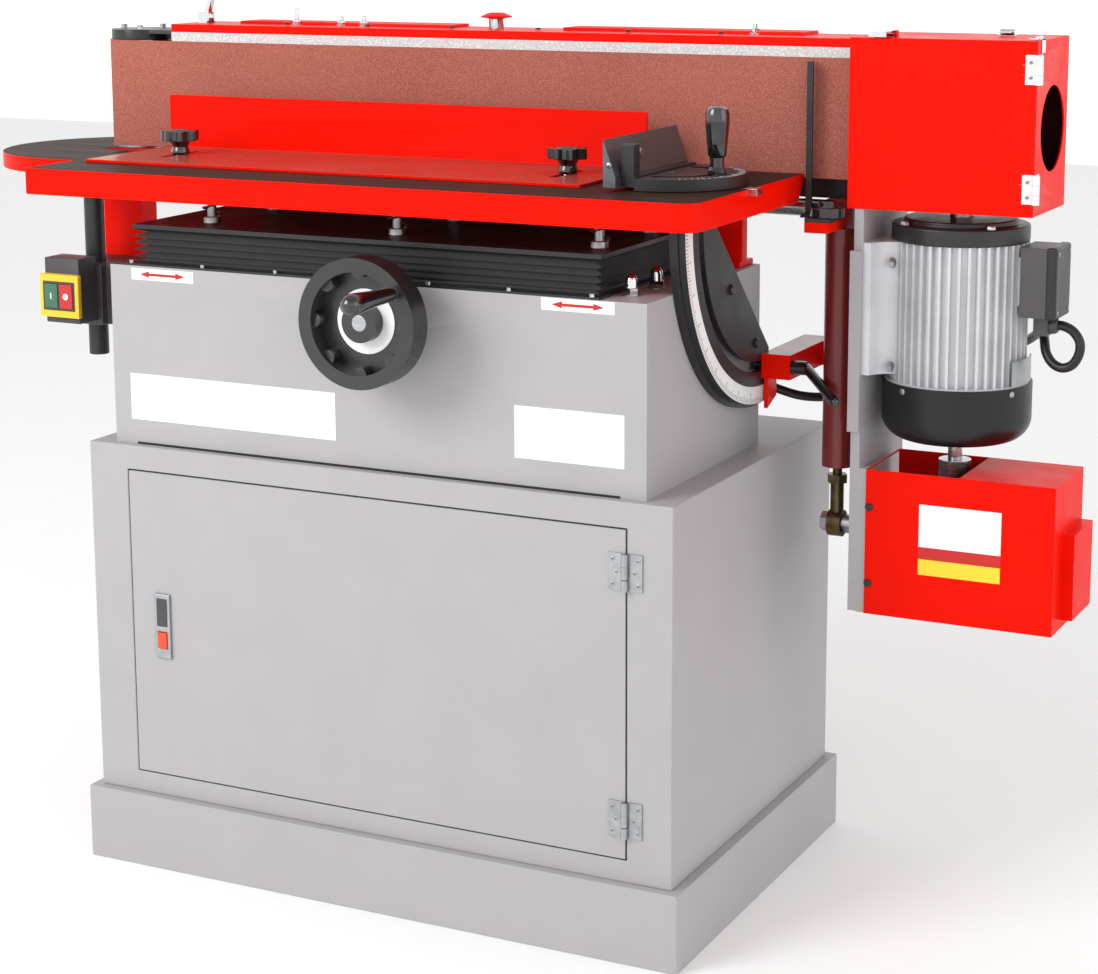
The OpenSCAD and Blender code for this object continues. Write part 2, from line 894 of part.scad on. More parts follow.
// Main table: top plate and rim, with the mitre slot and two knob holes
module main_table() {
  color(red_paint) difference() {
    union() {
      round_plate([table_x0, table_y0, table_bottom], table_l, table_d, table_rim_h, table_corner_r);
      block([table_x0, table_y0, table_bottom], [table_l / 2, table_d, table_rim_h]);
      block([table_x0, table_y0 + table_d / 2, table_bottom], [table_l, table_d / 2, table_rim_h]);
    }
    block([table_x0 + table_wall_t, table_y0 + table_wall_t, table_bottom - over],
      [table_l - 2 * table_wall_t, table_d - table_wall_t - table_back_wall,
      table_rim_h - table_top_t + over]);
    translate([table_x0 - over, 0, 0]) rotate([90, 0, 90]) linear_extrude(table_l + 2 * over)
      polygon([[table_y1 + over, table_z - table_edge_h], [table_y1 + over, table_bottom - over],
        [table_y1 - table_undercut, table_bottom - over]]);
    block([mitre_x - mitre_bar_l, slot_y - slot_w / 2, table_z - slot_deep],
      [table_x1 - mitre_x + mitre_bar_l + over, slot_w, slot_deep + over]);
    for (x = knob_xs) rod_along_z([x, knob_y, table_bottom - over], knob_stud_r + run_fit,
      table_rim_h + 2 * over);
  }
}

// Lift plate with guide columns, the nut tube and the levelling studs
module lift_plate() {
  color(black_part) difference() {
    union() {
      block([bellows_x0, bellows_y0, lift_plate_z],
        [bellows_x1 - bellows_x0, bellows_back_y - bellows_y0, lift_plate_t]);
      for (x = column_xs) rod_along_z([x, lift_y, lift_plate_z - column_l], column_r, column_l);
      rod_along_z([lift_x, lift_y, lift_plate_z - nut_l], nut_r, nut_l);
      for (x = stud_xs, y = stud_ys) {
        rod_along_z([x, y, lift_plate_top], stud_r, table_z - table_top_t - lift_plate_top);
        rod_along_z([x, y, lift_plate_top], stud_nut_r, stud_nut_h);
      }
    }
    rod_along_z([lift_x, lift_y, lift_plate_z - nut_l - over], screw_r + slide_fit, nut_l + over);
  }
}

// Coil spring round every levelling stud, between its nut and the table
spring_z0 = lift_plate_top + stud_nut_h + spring_wire_r + spring_end_gap;
spring_z1 = table_z - table_top_t - spring_wire_r - spring_end_gap;
function coil_path(x, y) = [for (i = [0 : spring_turns * spring_rings])
  [x + spring_r * cos(360 * i / spring_rings), y + spring_r * sin(360 * i / spring_rings),
  spring_z0 + (spring_z1 - spring_z0) * i / (spring_turns * spring_rings)]];
coil_points = coil_path(0, 0);
coil_gap = min([for (i = [0 : len(coil_points) - 1], j = [0 : len(coil_points) - 1])
  if (j - i >= spring_rings - 1) norm(coil_points[j] - coil_points[i]) - 2 * spring_wire_r]);
echo(least_spring_gap = coil_gap);

module levelling_springs() {
  color(bright_steel) for (x = stud_xs, y = stud_ys) tube_along(coil_path(x, y), spring_wire_r, spring_sides);
}

// Handwheel: dished web, rim with finger lobes, and hub
module handwheel() {
  rim_in = handwheel_d / 2 - wheel_rim_t;
  color(black_part) difference() {
    union() {
      difference() {
        rod_along_y([wheel_x, wheel_y0, wheel_z], handwheel_d / 2, wheel_depth);
        rod_along_y([wheel_x, wheel_y0 - over, wheel_z], rim_in, wheel_depth - wheel_web_t + over);
      }
      for (i = [0 : wheel_lobes - 1]) translate([wheel_x, 0, wheel_z]) rotate([0, 360 * i / wheel_lobes, 0])
        rod_along_y([rim_in, wheel_y0 + wheel_web_t, 0], lobe_r, wheel_depth - wheel_web_t);
      rod_along_y([wheel_x, wheel_y0 + wheel_web_t, wheel_z], wheel_hub_r,
        box_y0 - shaft_boss_l - gap - wheel_y0 - wheel_web_t);
    }
    rod_along_y([wheel_x, wheel_y0 - over, wheel_z], wheel_shaft_r + run_fit,
      box_y0 - wheel_y0 + 2 * over);
    translate([wheel_x, 0, wheel_z]) rotate([0, -grip_angle, 0])
      rod_along_y([grip_reach, wheel_y0 - over, 0], grip_neck_r + run_fit, wheel_depth + 2 * over);
  }
}

// Shaft from the handwheel to the bevel pinion
module handwheel_shaft() {
  color(bright_steel) {
    rod_along_y([wheel_x, wheel_y0 + wheel_web_t, wheel_z], wheel_shaft_r,
      pinion_y + pinion_t - wheel_y0 - wheel_web_t);
    rod_along_y([wheel_x, pinion_y, wheel_z], pinion_r, pinion_t);
  }
}

// Revolving grip on its neck in the handwheel web
module crank_grip() {
  color(black_part) translate([wheel_x, wheel_y0 + wheel_depth, wheel_z]) rotate([0, -grip_angle, 0])
    translate([grip_reach, 0, 0]) rotate([90, 0, 0]) {
      cylinder(r = grip_neck_r, h = wheel_depth + grip_neck_l);
      translate([0, 0, wheel_depth + grip_neck_l]) rotate_extrude() {
        square([grip_r - grip_neck_r / 2, grip_len]);
        intersection() {
          translate([0, grip_len]) circle(grip_r);
          square([grip_r, grip_len + grip_r]);
        }
      }
    }
}

// Lift screw with its bevel wheel
module lift_screw() {
  color(bright_steel) {
    rod_along_z([lift_x, lift_y, screw_bottom], screw_r, screw_top - screw_bottom);
    rod_along_z([lift_x, lift_y, bevel_z], bevel_r, bevel_t);
    rod_along_z([lift_x, lift_y, shelf_z + 2 * shelf_t + gap], nut_r, nut_r);
  }
}

// Fence: an angle of sheet with slots for the two knobs
module fence() {
  color(red_paint) difference() {
    union() {
      block([fence_x0, fence_back_y - fence_base_d, table_z], [fence_l, fence_base_d, fence_t]);
      block([fence_x0, fence_back_y - fence_t, table_z], [fence_l, fence_t, fence_h]);
    }
    for (x = knob_xs) {
      block([x - knob_stud_r - slide_fit, knob_y - fence_slot_l / 2, table_z - over],
        [2 * (knob_stud_r + slide_fit), fence_slot_l, fence_t + 2 * over]);
    }
  }
}

// Star knob that clamps the fence
module star_knob(x) {
  z = table_z + fence_t + gap;
  color(black_part) {
    rod_along_z([x, knob_y, table_bottom + table_rim_h / 2], knob_stud_r,
      table_rim_h / 2 + fence_t + gap + over);
    rod_along_z([x, knob_y, z], knob_hub_r, knob_neck_h);
    translate([x, knob_y, z + knob_neck_h]) linear_extrude(knob_h) {
      circle(knob_r - knob_r / knob_lobes);
      for (i = [0 : knob_lobes - 1]) rotate(360 * i / knob_lobes)
        translate([knob_r - knob_r / knob_lobes, 0]) circle(knob_r / knob_lobes);
    }
  }
}

module fence_knob_left() {
  star_knob(knob_xs[0]);
}

module fence_knob_right() {
  star_knob(knob_xs[1]);
}

// Mitre gauge: bar in the slot, swivelling body with its face, and the grip
module mitre_bar() {
  color(bright_steel) {
    block([mitre_x - mitre_bar_lead, slot_y - slot_w / 2 + slide_fit, table_z - slot_deep + slide_fit],
      [mitre_bar_l, slot_w - 2 * slide_fit, slot_deep - slide_fit]);
    rod_along_z([mitre_x, slot_y, table_z - over], mitre_pivot_r, mitre_disc_t + over + mitre_lift);
    rod_along_z([grip_x, slot_y, table_z - over], mitre_pivot_r, mitre_disc_t + 2 * mitre_pivot_r);
  }
}

mitre_z = table_z + mitre_lift;

module mitre_body() {
  disc_x = mitre_face_x + mitre_face_t + mitre_back_t - over;
  face_z = mitre_z + mitre_face_lift;
  color(black_part) difference() {
    union() {
      intersection() {
        rod_along_z([mitre_x, slot_y, mitre_z], mitre_disc_r, mitre_disc_t);
        block([disc_x, slot_y - mitre_disc_r, mitre_z], [2 * mitre_disc_r, 2 * mitre_disc_r, mitre_disc_t]);
      }
      block([mitre_face_x, slot_y - mitre_face_l / 2, face_z], [mitre_face_t, mitre_face_l, mitre_face_h]);
      block([mitre_face_x + mitre_face_t, slot_y - mitre_disc_r, face_z],
        [mitre_back_t, 2 * mitre_disc_r, mitre_face_h - mitre_face_t]);
    }
    rod_along_z([mitre_x, slot_y, mitre_z - over], mitre_pivot_r + run_fit, mitre_disc_t + 2 * over);
    rotate_arc(mitre_x, slot_y, grip_x - mitre_x, mitre_pivot_r + slide_fit, mitre_z - over,
      mitre_disc_t + 2 * over);
  }
}

// Arc slot round a pivot, half a turn less the face side
module rotate_arc(x, y, r, half_w, z, h) {
  translate([x, y, z]) linear_extrude(h) intersection() {
    difference() {
      circle(r + half_w);
      circle(r - half_w);
    }
    translate([0, -2 * r]) square([2 * r, 4 * r]);
  }
}

module mitre_grip() {
  z = mitre_z + mitre_disc_t + gap;
  color(black_part) translate([grip_x, slot_y, z]) difference() {
    rotate_extrude() {
      square([mitre_grip_neck, mitre_grip_h / 4]);
      translate([0, mitre_grip_h / 4])
        polygon([[0, 0], [mitre_grip_neck, 0], [mitre_grip_r, mitre_grip_h / 4],
        [mitre_grip_r, mitre_grip_h * 3 / 4 - mitre_grip_neck / 2],
        [mitre_grip_neck, mitre_grip_h * 3 / 4], [0, mitre_grip_h * 3 / 4]]);
    }
    translate([0, 0, -over]) cylinder(r = mitre_pivot_r + run_fit, h = 2 * mitre_pivot_r + over);
  }
}

// End table: round end, with a bay behind for the tilting head
module end_table() {
  color(red_paint) difference() {
    union() {
      intersection() {
        rod_along_z([end_x, end_y, end_table_z - end_table_t], end_table_r, end_table_t);
        block([end_x - end_table_r, end_y - end_table_r, end_table_z - end_table_t],
          [end_table_right - end_x + end_table_r, 2 * end_table_r, end_table_t]);
      }
      block([end_x, end_y - end_table_r, end_table_z - end_table_t],
        [end_table_right - end_x, 2 * end_table_r, end_table_t]);
      rod_along_z([post_x, post_y, end_table_z - end_table_t - post_boss_h], post_boss_r,
        post_boss_h + end_table_t / 2);
    }
    block([idler_x - belt_outer_r - head_pass_gap, tilt_y + head_pass_gap, end_table_z - end_table_t - over],
      [2 * end_table_r, 2 * end_table_r, end_table_t + 2 * over]);
    rod_along_z([post_x, post_y, end_table_z - end_table_t - post_boss_h - over], post_d / 2 + run_fit,
      post_boss_h + over);
  }
}

module end_post() {
  color(black_part) rod_along_z([post_x, post_y, post_bottom], post_d / 2,
    end_table_z - end_table_t - post_bottom);
}

// Tilt shaft with two lugs and the guide posts of the head
guide_top = belt_top - guide_top_gap;

module tilt_shaft() {
  color(bright_steel) {
    rod_along_x([tilt_shaft_x0, tilt_y, tilt_z], tilt_shaft_r, tube_x - tilt_shaft_x0);
    for (x = guide_xs) {
      block([x - lug_w / 2, tilt_y, tilt_z - lug_t / 2], [lug_w, guide_y - tilt_y + lug_w / 2, lug_t]);
      rod_along_z([x, guide_y, tilt_z], guide_r, guide_top - tilt_z);
    }
  }
}

// Column of the tilting frame with the clamp arm, the pointer and the stop bracket
clamp_z0 = tilt_z - slot_r;

module tilt_column() {
  tube_top = tilt_z - tube_top_drop;
  color(dark_red) difference() {
    union() {
      rod_along_z([tube_x, tube_y, tube_bottom], column_tube_r, tube_top - tube_bottom);
      block([clamp_block_x, tilt_y - clamp_block_front, clamp_z0 - clamp_block_h / 2],
        [clamp_block_l, clamp_block_front + clamp_block_back, clamp_block_h]);
      block([clamp_block_x, tilt_y + clamp_block_back - arm_back, clamp_z0 - clamp_block_h / 2],
        [tube_x - clamp_block_x, arm_back, clamp_block_h]);
      block([tube_x - column_head_w / 2, tube_y, clamp_z0 - clamp_block_h / 2],
        [column_head_w, tilt_y + clamp_block_back - tube_y, clamp_block_h]);
      on_tilt_plane(clamp_block_x + pointer_gap) linear_extrude(pointer_t)
        polygon([[-pointer_front, -slot_r], [-pointer_front, -slot_r - pointer_l],
          [pointer_w - pointer_front, -slot_r - pointer_back_l], [pointer_w - pointer_front, -slot_r]]);
      block([tube_x - column_head_w / 2, tilt_y - column_head_w / 2, tube_top - over],
        [column_head_w, column_head_w, tilt_z + column_head_rise - tube_top + over]);
      block([stop_bracket_x, stop_knob_y - stop_knob_r, stop_foot_z - stop_bracket_t],
        [stop_bracket_w, tube_y - stop_knob_y + stop_knob_r, stop_bracket_t]);
    }
    rod_along_z([tube_x, tube_y, tube_bottom + tube_wall], column_tube_r - tube_wall,
      stop_foot_z - 2 * stop_bracket_t - tube_bottom - tube_wall);
    rod_along_x([0, tilt_y, tilt_z], tilt_shaft_r + run_fit, tube_x + run_fit);
    rod_along_x([clamp_block_x - over, tilt_y, clamp_z0], clamp_stud_r + run_fit, clamp_block_l + 2 * over);
    rod_along_z([rod_x, tube_y, tube_bottom - over], rod_stud_r + run_fit, tube_wall + 2 * over);
    rod_along_z([stop_knob_x, stop_knob_y, stop_foot_z - stop_bracket_t - over], stop_stud_r + run_fit,
      stop_bracket_t + 2 * over);
  }
}

// Rod end under the column; its eye stands open round the eccentric pin
module rod_end() {
  eye_bore = ecc_pin_r + 2 * throw + ecc_open;
  color("#7A7042") difference() {
    union() {
      rod_along_z([rod_x, tube_y, rod_z], rod_body_r, tube_bottom - rod_z - 2 * rod_nut_h);
      rod_along_z([rod_x, tube_y, tube_bottom - 2 * rod_nut_h - over], rod_stud_r,
        2 * rod_nut_h + over + tube_wall);
      translate([rod_x, tube_y, tube_bottom - 2 * rod_nut_h]) cylinder(r = rod_nut_r, h = rod_nut_h, $fn = 6);
      rod_along_x([rod_x - rod_eye_w / 2, tube_y, rod_z], rod_eye_r, rod_eye_w);
    }
    rod_along_x([rod_x - rod_eye_w / 2 - over, tube_y, rod_z], eye_bore, rod_eye_w + 2 * over);
  }
}

// Clamp lever with its stud through the quadrant slot and a nut behind
module clamp_lever() {
  hub_x = clamp_block_x + clamp_block_l + gap;
  color(black_part) {
    rod_along_x([quadrant_x + quadrant_stand - gap - clamp_stud_r, tilt_y, clamp_z0], clamp_stud_r,
      hub_x + over - quadrant_x - quadrant_stand + gap + clamp_stud_r);
    rod_along_x([hub_x, tilt_y, clamp_z0], lever_hub_r, lever_hub_l);
    translate([quadrant_x + quadrant_stand - gap - clamp_stud_r, tilt_y, clamp_z0]) rotate([0, 90, 0])
      cylinder(r = slot_half_w + clamp_stud_r / 2, h = clamp_stud_r, $fn = 6);
    hull() {
      translate([hub_x + lever_hub_l, tilt_y, clamp_z0]) sphere(r = lever_r, $fn = 24);
      translate([hub_x + lever_hub_l, tilt_y, clamp_z0] + lever_tip) sphere(r = lever_r, $fn = 24);
    }
  }
}

// Work stop: an upright on a slotted foot, clamped by a knob
module work_stop() {
  stop_y1 = belt_front_y - stop_belt_gap;
  color(black_part) difference() {
    union() {
      block([stop_x, stop_y1 - stop_leg_d, stop_foot_z], [stop_w, stop_t, belt_top - stop_t - stop_foot_z]);
      block([stop_x, stop_y1 - stop_leg_d, stop_foot_z],
        [stop_t, stop_leg_d, belt_top - stop_t - stop_foot_z]);
      block([stop_bracket_x, stop_knob_y - stop_knob_r, stop_foot_z],
        [stop_knob_x + stop_hub_r - stop_bracket_x, tube_y - column_tube_r - gap - stop_knob_y + stop_knob_r,
        stop_foot_t]);
      block([stop_x, stop_y1 - 2 * stop_leg_d, stop_foot_z],
        [stop_bracket_x - stop_x + over, 2 * stop_leg_d, stop_foot_t]);
    }
    block([stop_knob_x - stop_stud_r - slide_fit, stop_knob_y - stop_stud_r - slide_fit, stop_foot_z - over],
      [2 * (stop_stud_r + slide_fit), stop_travel + 2 * stop_stud_r + 2 * slide_fit, stop_foot_t + 2 * over]);
  }
}

module stop_knob() {
  z = stop_foot_z + stop_foot_t + gap;
  color(black_part) {
    rod_along_z([stop_knob_x, stop_knob_y, stop_foot_z - stop_bracket_t], stop_stud_r,
      z + over - stop_foot_z + stop_bracket_t);
    rod_along_z([stop_knob_x, stop_knob_y, z], stop_knob_r, stop_knob_h);
    rod_along_z([stop_knob_x, stop_knob_y, z + stop_knob_h], stop_hub_r, stop_hub_h);
  }
}

// Head frame: a channel inside the belt with guide bushes and the beam to the motor plate
platen_y = belt_front_y + belt_t + platen_gap;
frame_y = platen_y + platen_t;
frame_z0 = belt_z + platen_drop;
frame_z1 = belt_top + frame_flange_t;

module head_frame() {
  bush_top = frame_z1 - frame_flange_t;
  color(zinc) difference() {
    union() {
      block([platen_x0, frame_y, frame_z0], [frame_x1 - platen_x0, frame_web_t, frame_z1 - frame_z0]);
      for (z = [frame_z0, frame_z1 - frame_flange_t])
        block([platen_x0, frame_y, z], [frame_x1 - platen_x0, frame_depth, frame_flange_t]);
      for (x = guide_xs) rod_along_z([x, guide_y, frame_z0], guide_r + bush_wall, bush_top - frame_z0);
      block([beam_x0, beam_y0, hood_z0 + hood_t],
        [plate_x1 - beam_x0, beam_t, frame_z0 + over - hood_z0 - hood_t]);
    }
    for (x = guide_xs)
      rod_along_z([x, guide_y, frame_z0 - over], guide_r + run_fit, bush_top - frame_z0 + over);
  }
}

module platen() {
  color(bright_steel) block([platen_x0, platen_y, frame_z0],
    [frame_x1 - platen_x0, platen_t, belt_top + platen_rise - frame_z0]);
}

// Head cover: lid over the platen with the rear guard of the belt
cover_z0 = belt_top + platen_rise;
cover_y1 = drum_y + belt_outer_r + cover_back_gap;

module head_cover() {
  cover_w = frame_x1 - platen_x0;
  cover_d = cover_y1 + cover_t - platen_y;
  color(red_paint) difference() {
    union() {
      block([platen_x0, platen_y, cover_z0], [cover_w, cover_d, cover_h]);
      block([platen_x0, cover_y1, frame_z0], [cover_w, cover_t, cover_z0 + cover_h - frame_z0]);
      for (share = raised_start_shares) block([platen_x0 + cover_w * share, drum_y, cover_z0 + cover_h],
        [cover_w * raised_len_share, cover_y1 - drum_y, raised_t]);
      for (y = [drum_y - lever_w / 2 - gap - lever_ear_t, drum_y + lever_w / 2 + gap])
        block([lever_x - lever_ear_h / 2, y, cover_z0 + cover_h - over],
          [lever_ear_h, lever_ear_t, lever_ear_h + over]);
      rod_along_y([lever_x, drum_y - lever_w / 2 - gap - lever_ear_t, lever_z], lever_pin_r,
        lever_w + 2 * (gap + lever_ear_t));
    }
    block([platen_x0 - over, platen_y + platen_t, cover_z0 - over],
      [cover_w + 2 * over, cover_d - platen_t - cover_t, cover_h - cover_t + over]);
    rod_along_z([track_x, track_y, cover_z0 - over], track_stem_r + slide_fit, cover_h + 2 * over);
  }
}

// Hood round the drive drum, open to the belt and to its door, with the dust port
module hood() {
  color(red_paint) {
    difference() {
      block([hood_x0, hood_y0, hood_z0], [hood_x1 - hood_x0, hood_depth, hood_h]);
      block([hood_x0 - over, hood_y0 - over, hood_z0 + hood_t],
        [hood_x1 - hood_x0 - hood_t + over, hood_depth - hood_t + over, hood_h - 2 * hood_t]);
      rod_along_x([hood_x1 - hood_t - over, port_y, port_z], dust_port_r, hood_t + 2 * over);
      rod_along_z([drive_x, drum_y, hood_z0 - over], shaft_r + hood_t, hood_t + 2 * over);
    }
    for (z = hood_hinge_zs) hood_hinge_fixed(z);
    for (x = [catch_x - gap - catch_t, catch_x + catch_w + gap])
      block([x, catch_y - catch_barrel_r, hood_z0 + hood_h - over],
        [catch_t, 2 * catch_barrel_r, 2 * catch_barrel_r + gap + over]);
    rod_along_x([catch_x - gap - catch_t, catch_y, catch_z], catch_pin_r, catch_w + 2 * (gap + catch_t));
  }
}

// Door hinge of the hood, turned so that its fixed leaf lies on the side wall
hood_hinge_x = hood_x1 + barrel_r;
hood_hinge_y = hood_y0 - hood_t - barrel_r;

module hood_hinge_fixed(z) {
  k = hood_hinge_h / 3;
  for (dz = [0, 2 * k]) {
    rod_along_z([hood_hinge_x, hood_hinge_y, z + dz], barrel_r, k - gap);
    block([hood_x1, hood_hinge_y, z + dz], [leaf_t, leaf_w, k - gap]);
  }
  rod_along_z([hood_hinge_x, hood_hinge_y, z], pin_r, hood_hinge_h - gap);
}

module hood_door() {
  k = hood_hinge_h / 3;
  w = hood_x1 - hood_x0;
  y = hood_y0 - gap - hood_t;
  color(red_paint) difference() {
    union() {
      block([hood_x0, y, hood_z0], [w - gap, hood_t, hood_h]);
      block([hood_x0, y, hood_z0 + hood_t + gap], [hood_t, door_lip, hood_h - 2 * hood_t - 2 * gap]);
      for (z = hood_hinge_zs) {
        rod_along_z([hood_hinge_x, hood_hinge_y, z + k], barrel_r, k - gap);
        block([hood_hinge_x - leaf_w, y - leaf_t, z + k], [leaf_w, leaf_t, k - gap]);
      }
    }
    for (z = hood_hinge_zs) rod_along_z([hood_hinge_x, hood_hinge_y, z - over], pin_r + run_fit,
      hood_hinge_h + 2 * over);
  }
}

// Over-centre catch on the hood top that holds the door
catch_z = hood_z0 + hood_h + catch_barrel_r + gap;

module hood_latch() {
  color(bright_steel) difference() {
    union() {
      rod_along_x([catch_x, catch_y, catch_z], catch_barrel_r, catch_w);
      block([catch_x, catch_y - catch_l, catch_z + catch_barrel_r - catch_t], [catch_w, catch_l, catch_t]);
      block([catch_x, catch_y - catch_l, catch_z - catch_hook],
        [catch_w, catch_t, catch_hook + catch_barrel_r]);
    }
    rod_along_x([catch_x - over, catch_y, catch_z], catch_pin_r + run_fit, catch_w + 2 * over);
  }
}

// Motor plate: folded plate with a guide bar on its front edge
module motor_plate() {
  x0 = plate_x1 - plate_w;
  h = hood_z0 - plate_z0;
  color(zinc) difference() {
    union() {
      block([plate_x1 - plate_t, plate_y0, plate_z0], [plate_t, plate_d, h]);
      for (y = [plate_y0, plate_y0 + plate_d - plate_t]) block([x0, y, plate_z0], [plate_w, plate_t, h]);
      block([plate_x1 - bar_w, plate_y0 - bar_d, bar_z0], [bar_w, bar_d + over, bar_h]);
      block([plate_x1 - over, plate_y0, gear_z0], [gear_set + over, gear_strip_d, gear_h]);
      rod_along_x([x0, tube_y, rod_z], ecc_shaft_r + bush_wall, plate_w);
      block([x0, beam_y0, beam_z0], [plate_w, beam_t, hood_z0 - beam_z0]);
      rod_along_x([x0, clip_y, clip_z], clip_r, plate_w);
    }
    rod_along_x([x0 - over, tube_y, rod_z], ecc_shaft_r + run_fit, plate_w + 2 * over);
  }
}

// Finned motor body with its foot pad on the plate
function foot_point(i, side) =
  [foot_reach * foot_reach_shares[i], side * (foot_half - foot_flare * foot_flare_shares[i])];

module motor_frame() {
  color(alu) difference() {
    union() {
      translate([drive_x, drum_y, motor_z0]) linear_extrude(motor_h) {
        circle(motor_r - fin_deep);
        for (i = [0 : fin_count - 1]) rotate(360 * i / fin_count)
          translate([0, -fin_t / 2]) square([motor_r - gap, fin_t]);
      }
      rod_along_z([drive_x, drum_y, motor_z0 - motor_flange_t], fan_r - fan_wall - gap,
        motor_flange_t + over);
      block([drive_x, drum_y - boss_w / 2, term_z + boss_inset], [motor_r, boss_w, boss_h]);
      translate([plate_x1, drum_y, motor_z0 + foot_pad_t]) linear_extrude(motor_h - foot_pad_t)
        polygon(concat([for (i = [0 : len(foot_reach_shares) - 1]) foot_point(i, -1)],
          [[drive_x - plate_x1, 0]],
          [for (i = [len(foot_reach_shares) - 1 : -1 : 0]) foot_point(i, 1)]));
    }
    rod_along_z([drive_x, drum_y, motor_z0 - motor_flange_t - over], motor_bore_r,
      motor_h + motor_flange_t + 2 * over);
  }
}

module motor_bell() {
  z = motor_z0 + motor_h;
  color(black_part) difference() {
    union() {
      rod_along_z([drive_x, drum_y, z], bell_r, bell_h - bell_step_h);
      rod_along_z([drive_x, drum_y, z], bell_step_r, bell_h);
    }
    rod_along_z([drive_x, drum_y, z - over], shaft_r + run_fit, bell_h + 2 * over);
  }
}

// Fan cover: a bowl under the motor
module fan_profile(r, h, c) {
  translate([0, c]) square([r, h - c]);
  square([r - c, h]);
  intersection() {
    translate([r - c, c]) circle(c);
    translate([r - c, 0]) square([c, c]);
  }
}

module fan_cover() {
  color(black_part) translate([drive_x, drum_y, motor_z0 - fan_h]) difference() {
    rotate_extrude() fan_profile(fan_r, fan_h, fan_round);
    translate([0, 0, fan_wall]) rotate_extrude()
      fan_profile(fan_r - fan_wall, fan_h - fan_wall + over, fan_round - fan_wall);
    translate([0, 0, -over]) cylinder(r = fan_vent_r, h = fan_wall + 2 * over);
  }
}

module terminal_box() {
  x = drive_x + motor_r;
  color("#4A4A4E") {
    block([x, drum_y - term_d / 2, term_z], [term_w, term_d, term_h]);
    block([x + neck_inset, loop_route[0][1] - neck_w / 2, term_z - gland_h],
      [neck_l, neck_w, gland_h + over]);
    rod_along_x([x + neck_inset + neck_l - over, loop_route[0][1], loop_route[0][2]], gland_r,
      loop_route[0][0] - x - neck_inset - neck_l + over);
  }
}

// Cover of the oscillating drive, with a stepped side
module gear_cover() {
  color(red_paint) difference() {
    union() {
      block([gear_x0, gear_y0, gear_z0], [gear_x1 - gear_x0, gear_d, gear_h]);
      block([gear_x1 - over, gear_y0 + gear_step_y, gear_z0 + gear_step_z],
        [gear_step_x + over, gear_d - gear_step_y, gear_step_h]);
    }
    block([gear_x0 + gear_t, gear_y0 + gear_t, gear_z0 + gear_t],
      [gear_x1 - gear_x0 - 2 * gear_t, gear_d - 2 * gear_t, gear_h - 2 * gear_t]);
    block([gear_x0 - over, plate_y0 + gear_t, gear_z0 + gear_t],
      [gear_t + 2 * over, gear_y0 + gear_d - plate_y0 - 2 * gear_t, gear_h - 2 * gear_t]);
    block([gear_x1 - gear_t - over, gear_y0 + gear_step_y + gear_t, gear_z0 + gear_step_z + gear_t],
      [gear_step_x + over, gear_d - gear_step_y - 2 * gear_t, gear_step_h - 2 * gear_t]);
    block([gear_x0 + gear_t, gear_y0 + gear_t, gear_z0 + gear_h - gear_t - over],
      [gear_open_l - gear_set - gear_t, gear_d - 2 * gear_t, gear_t + 2 * over]);
  }
}

// Sanding belt round both drums
module belt_outline(r) {
  for (x = [idler_x, drive_x]) translate([x, drum_y]) circle(r);
  translate([idler_x, drum_y - r]) square([drum_span, 2 * r]);
}

module sanding_belt() {
  color("#A9604F") translate([0, 0, belt_z]) linear_extrude(belt_w) difference() {
    belt_outline(belt_outer_r);
    belt_outline(belt_inner_r);
  }
}

module drive_drum() {
  color(zinc) difference() {
    rod_along_z([drive_x, drum_y, belt_z], drum_r, belt_w);
    rod_along_z([drive_x, drum_y, belt_z - over], shaft_r + run_fit, belt_w + 2 * over);
  }
}

// Motor shaft with rotor, cooling fan, collar and worm
module motor_rotor() {
  color(bright_steel) {
    rod_along_z([drive_x, drum_y, shaft_bottom], tail_r, fan_disc_z - shaft_bottom + over);
    rod_along_z([drive_x, drum_y, fan_disc_z], shaft_r, belt_top - fan_disc_z);
    rod_along_z([drive_x, drum_y, motor_z0 + rotor_inset], rotor_r, motor_h - 2 * rotor_inset);
    rod_along_z([drive_x, drum_y, fan_disc_z], fan_disc_r, fan_disc_t);
    rod_along_z([drive_x, drum_y, collar_z], collar_r, collar_h);
    rod_along_z([drive_x, drum_y, rod_z - 2 * worm_r], worm_r, 4 * worm_r);
  }
}

module idler_drum() {
  color(zinc) difference() {
    rod_along_z([idler_x, drum_y, belt_z], drum_r, belt_w);
    rod_along_z([idler_x, drum_y, belt_z - over], axle_r + run_fit, belt_w + 2 * over);
  }
}

// Idler slide: arm on the frame with cap, axle and three bolts
arm_z = frame_z1 + gap;

module idler_bracket() {
  color(black_part) {
    block([idler_x, drum_y - arm_w / 2, arm_z], [arm_end_x - idler_x, arm_w, arm_thick]);
    rod_along_z([idler_x, drum_y, belt_top + gap], cap_r, arm_z + arm_thick - belt_top - gap);
    rod_along_z([idler_x, drum_y, belt_z + platen_drop], axle_r, belt_w - platen_drop + over);
  }
  color(bright_steel) for (i = [0 : 2]) rotate_about(idler_x, drum_y, 120 * i + 180)
    translate([cap_bolt_pcd_r, 0, arm_z + arm_thick]) cylinder(r = cap_bolt_r, h = cap_bolt_h, $fn = 6);
}

module rotate_about(x, y, a) {
  translate([x, y, 0]) rotate(a) children();
}

// Tension lever: upright handle on an ear bolted to the lid
lever_z = cover_z0 + cover_h + lever_ear_h / 2;

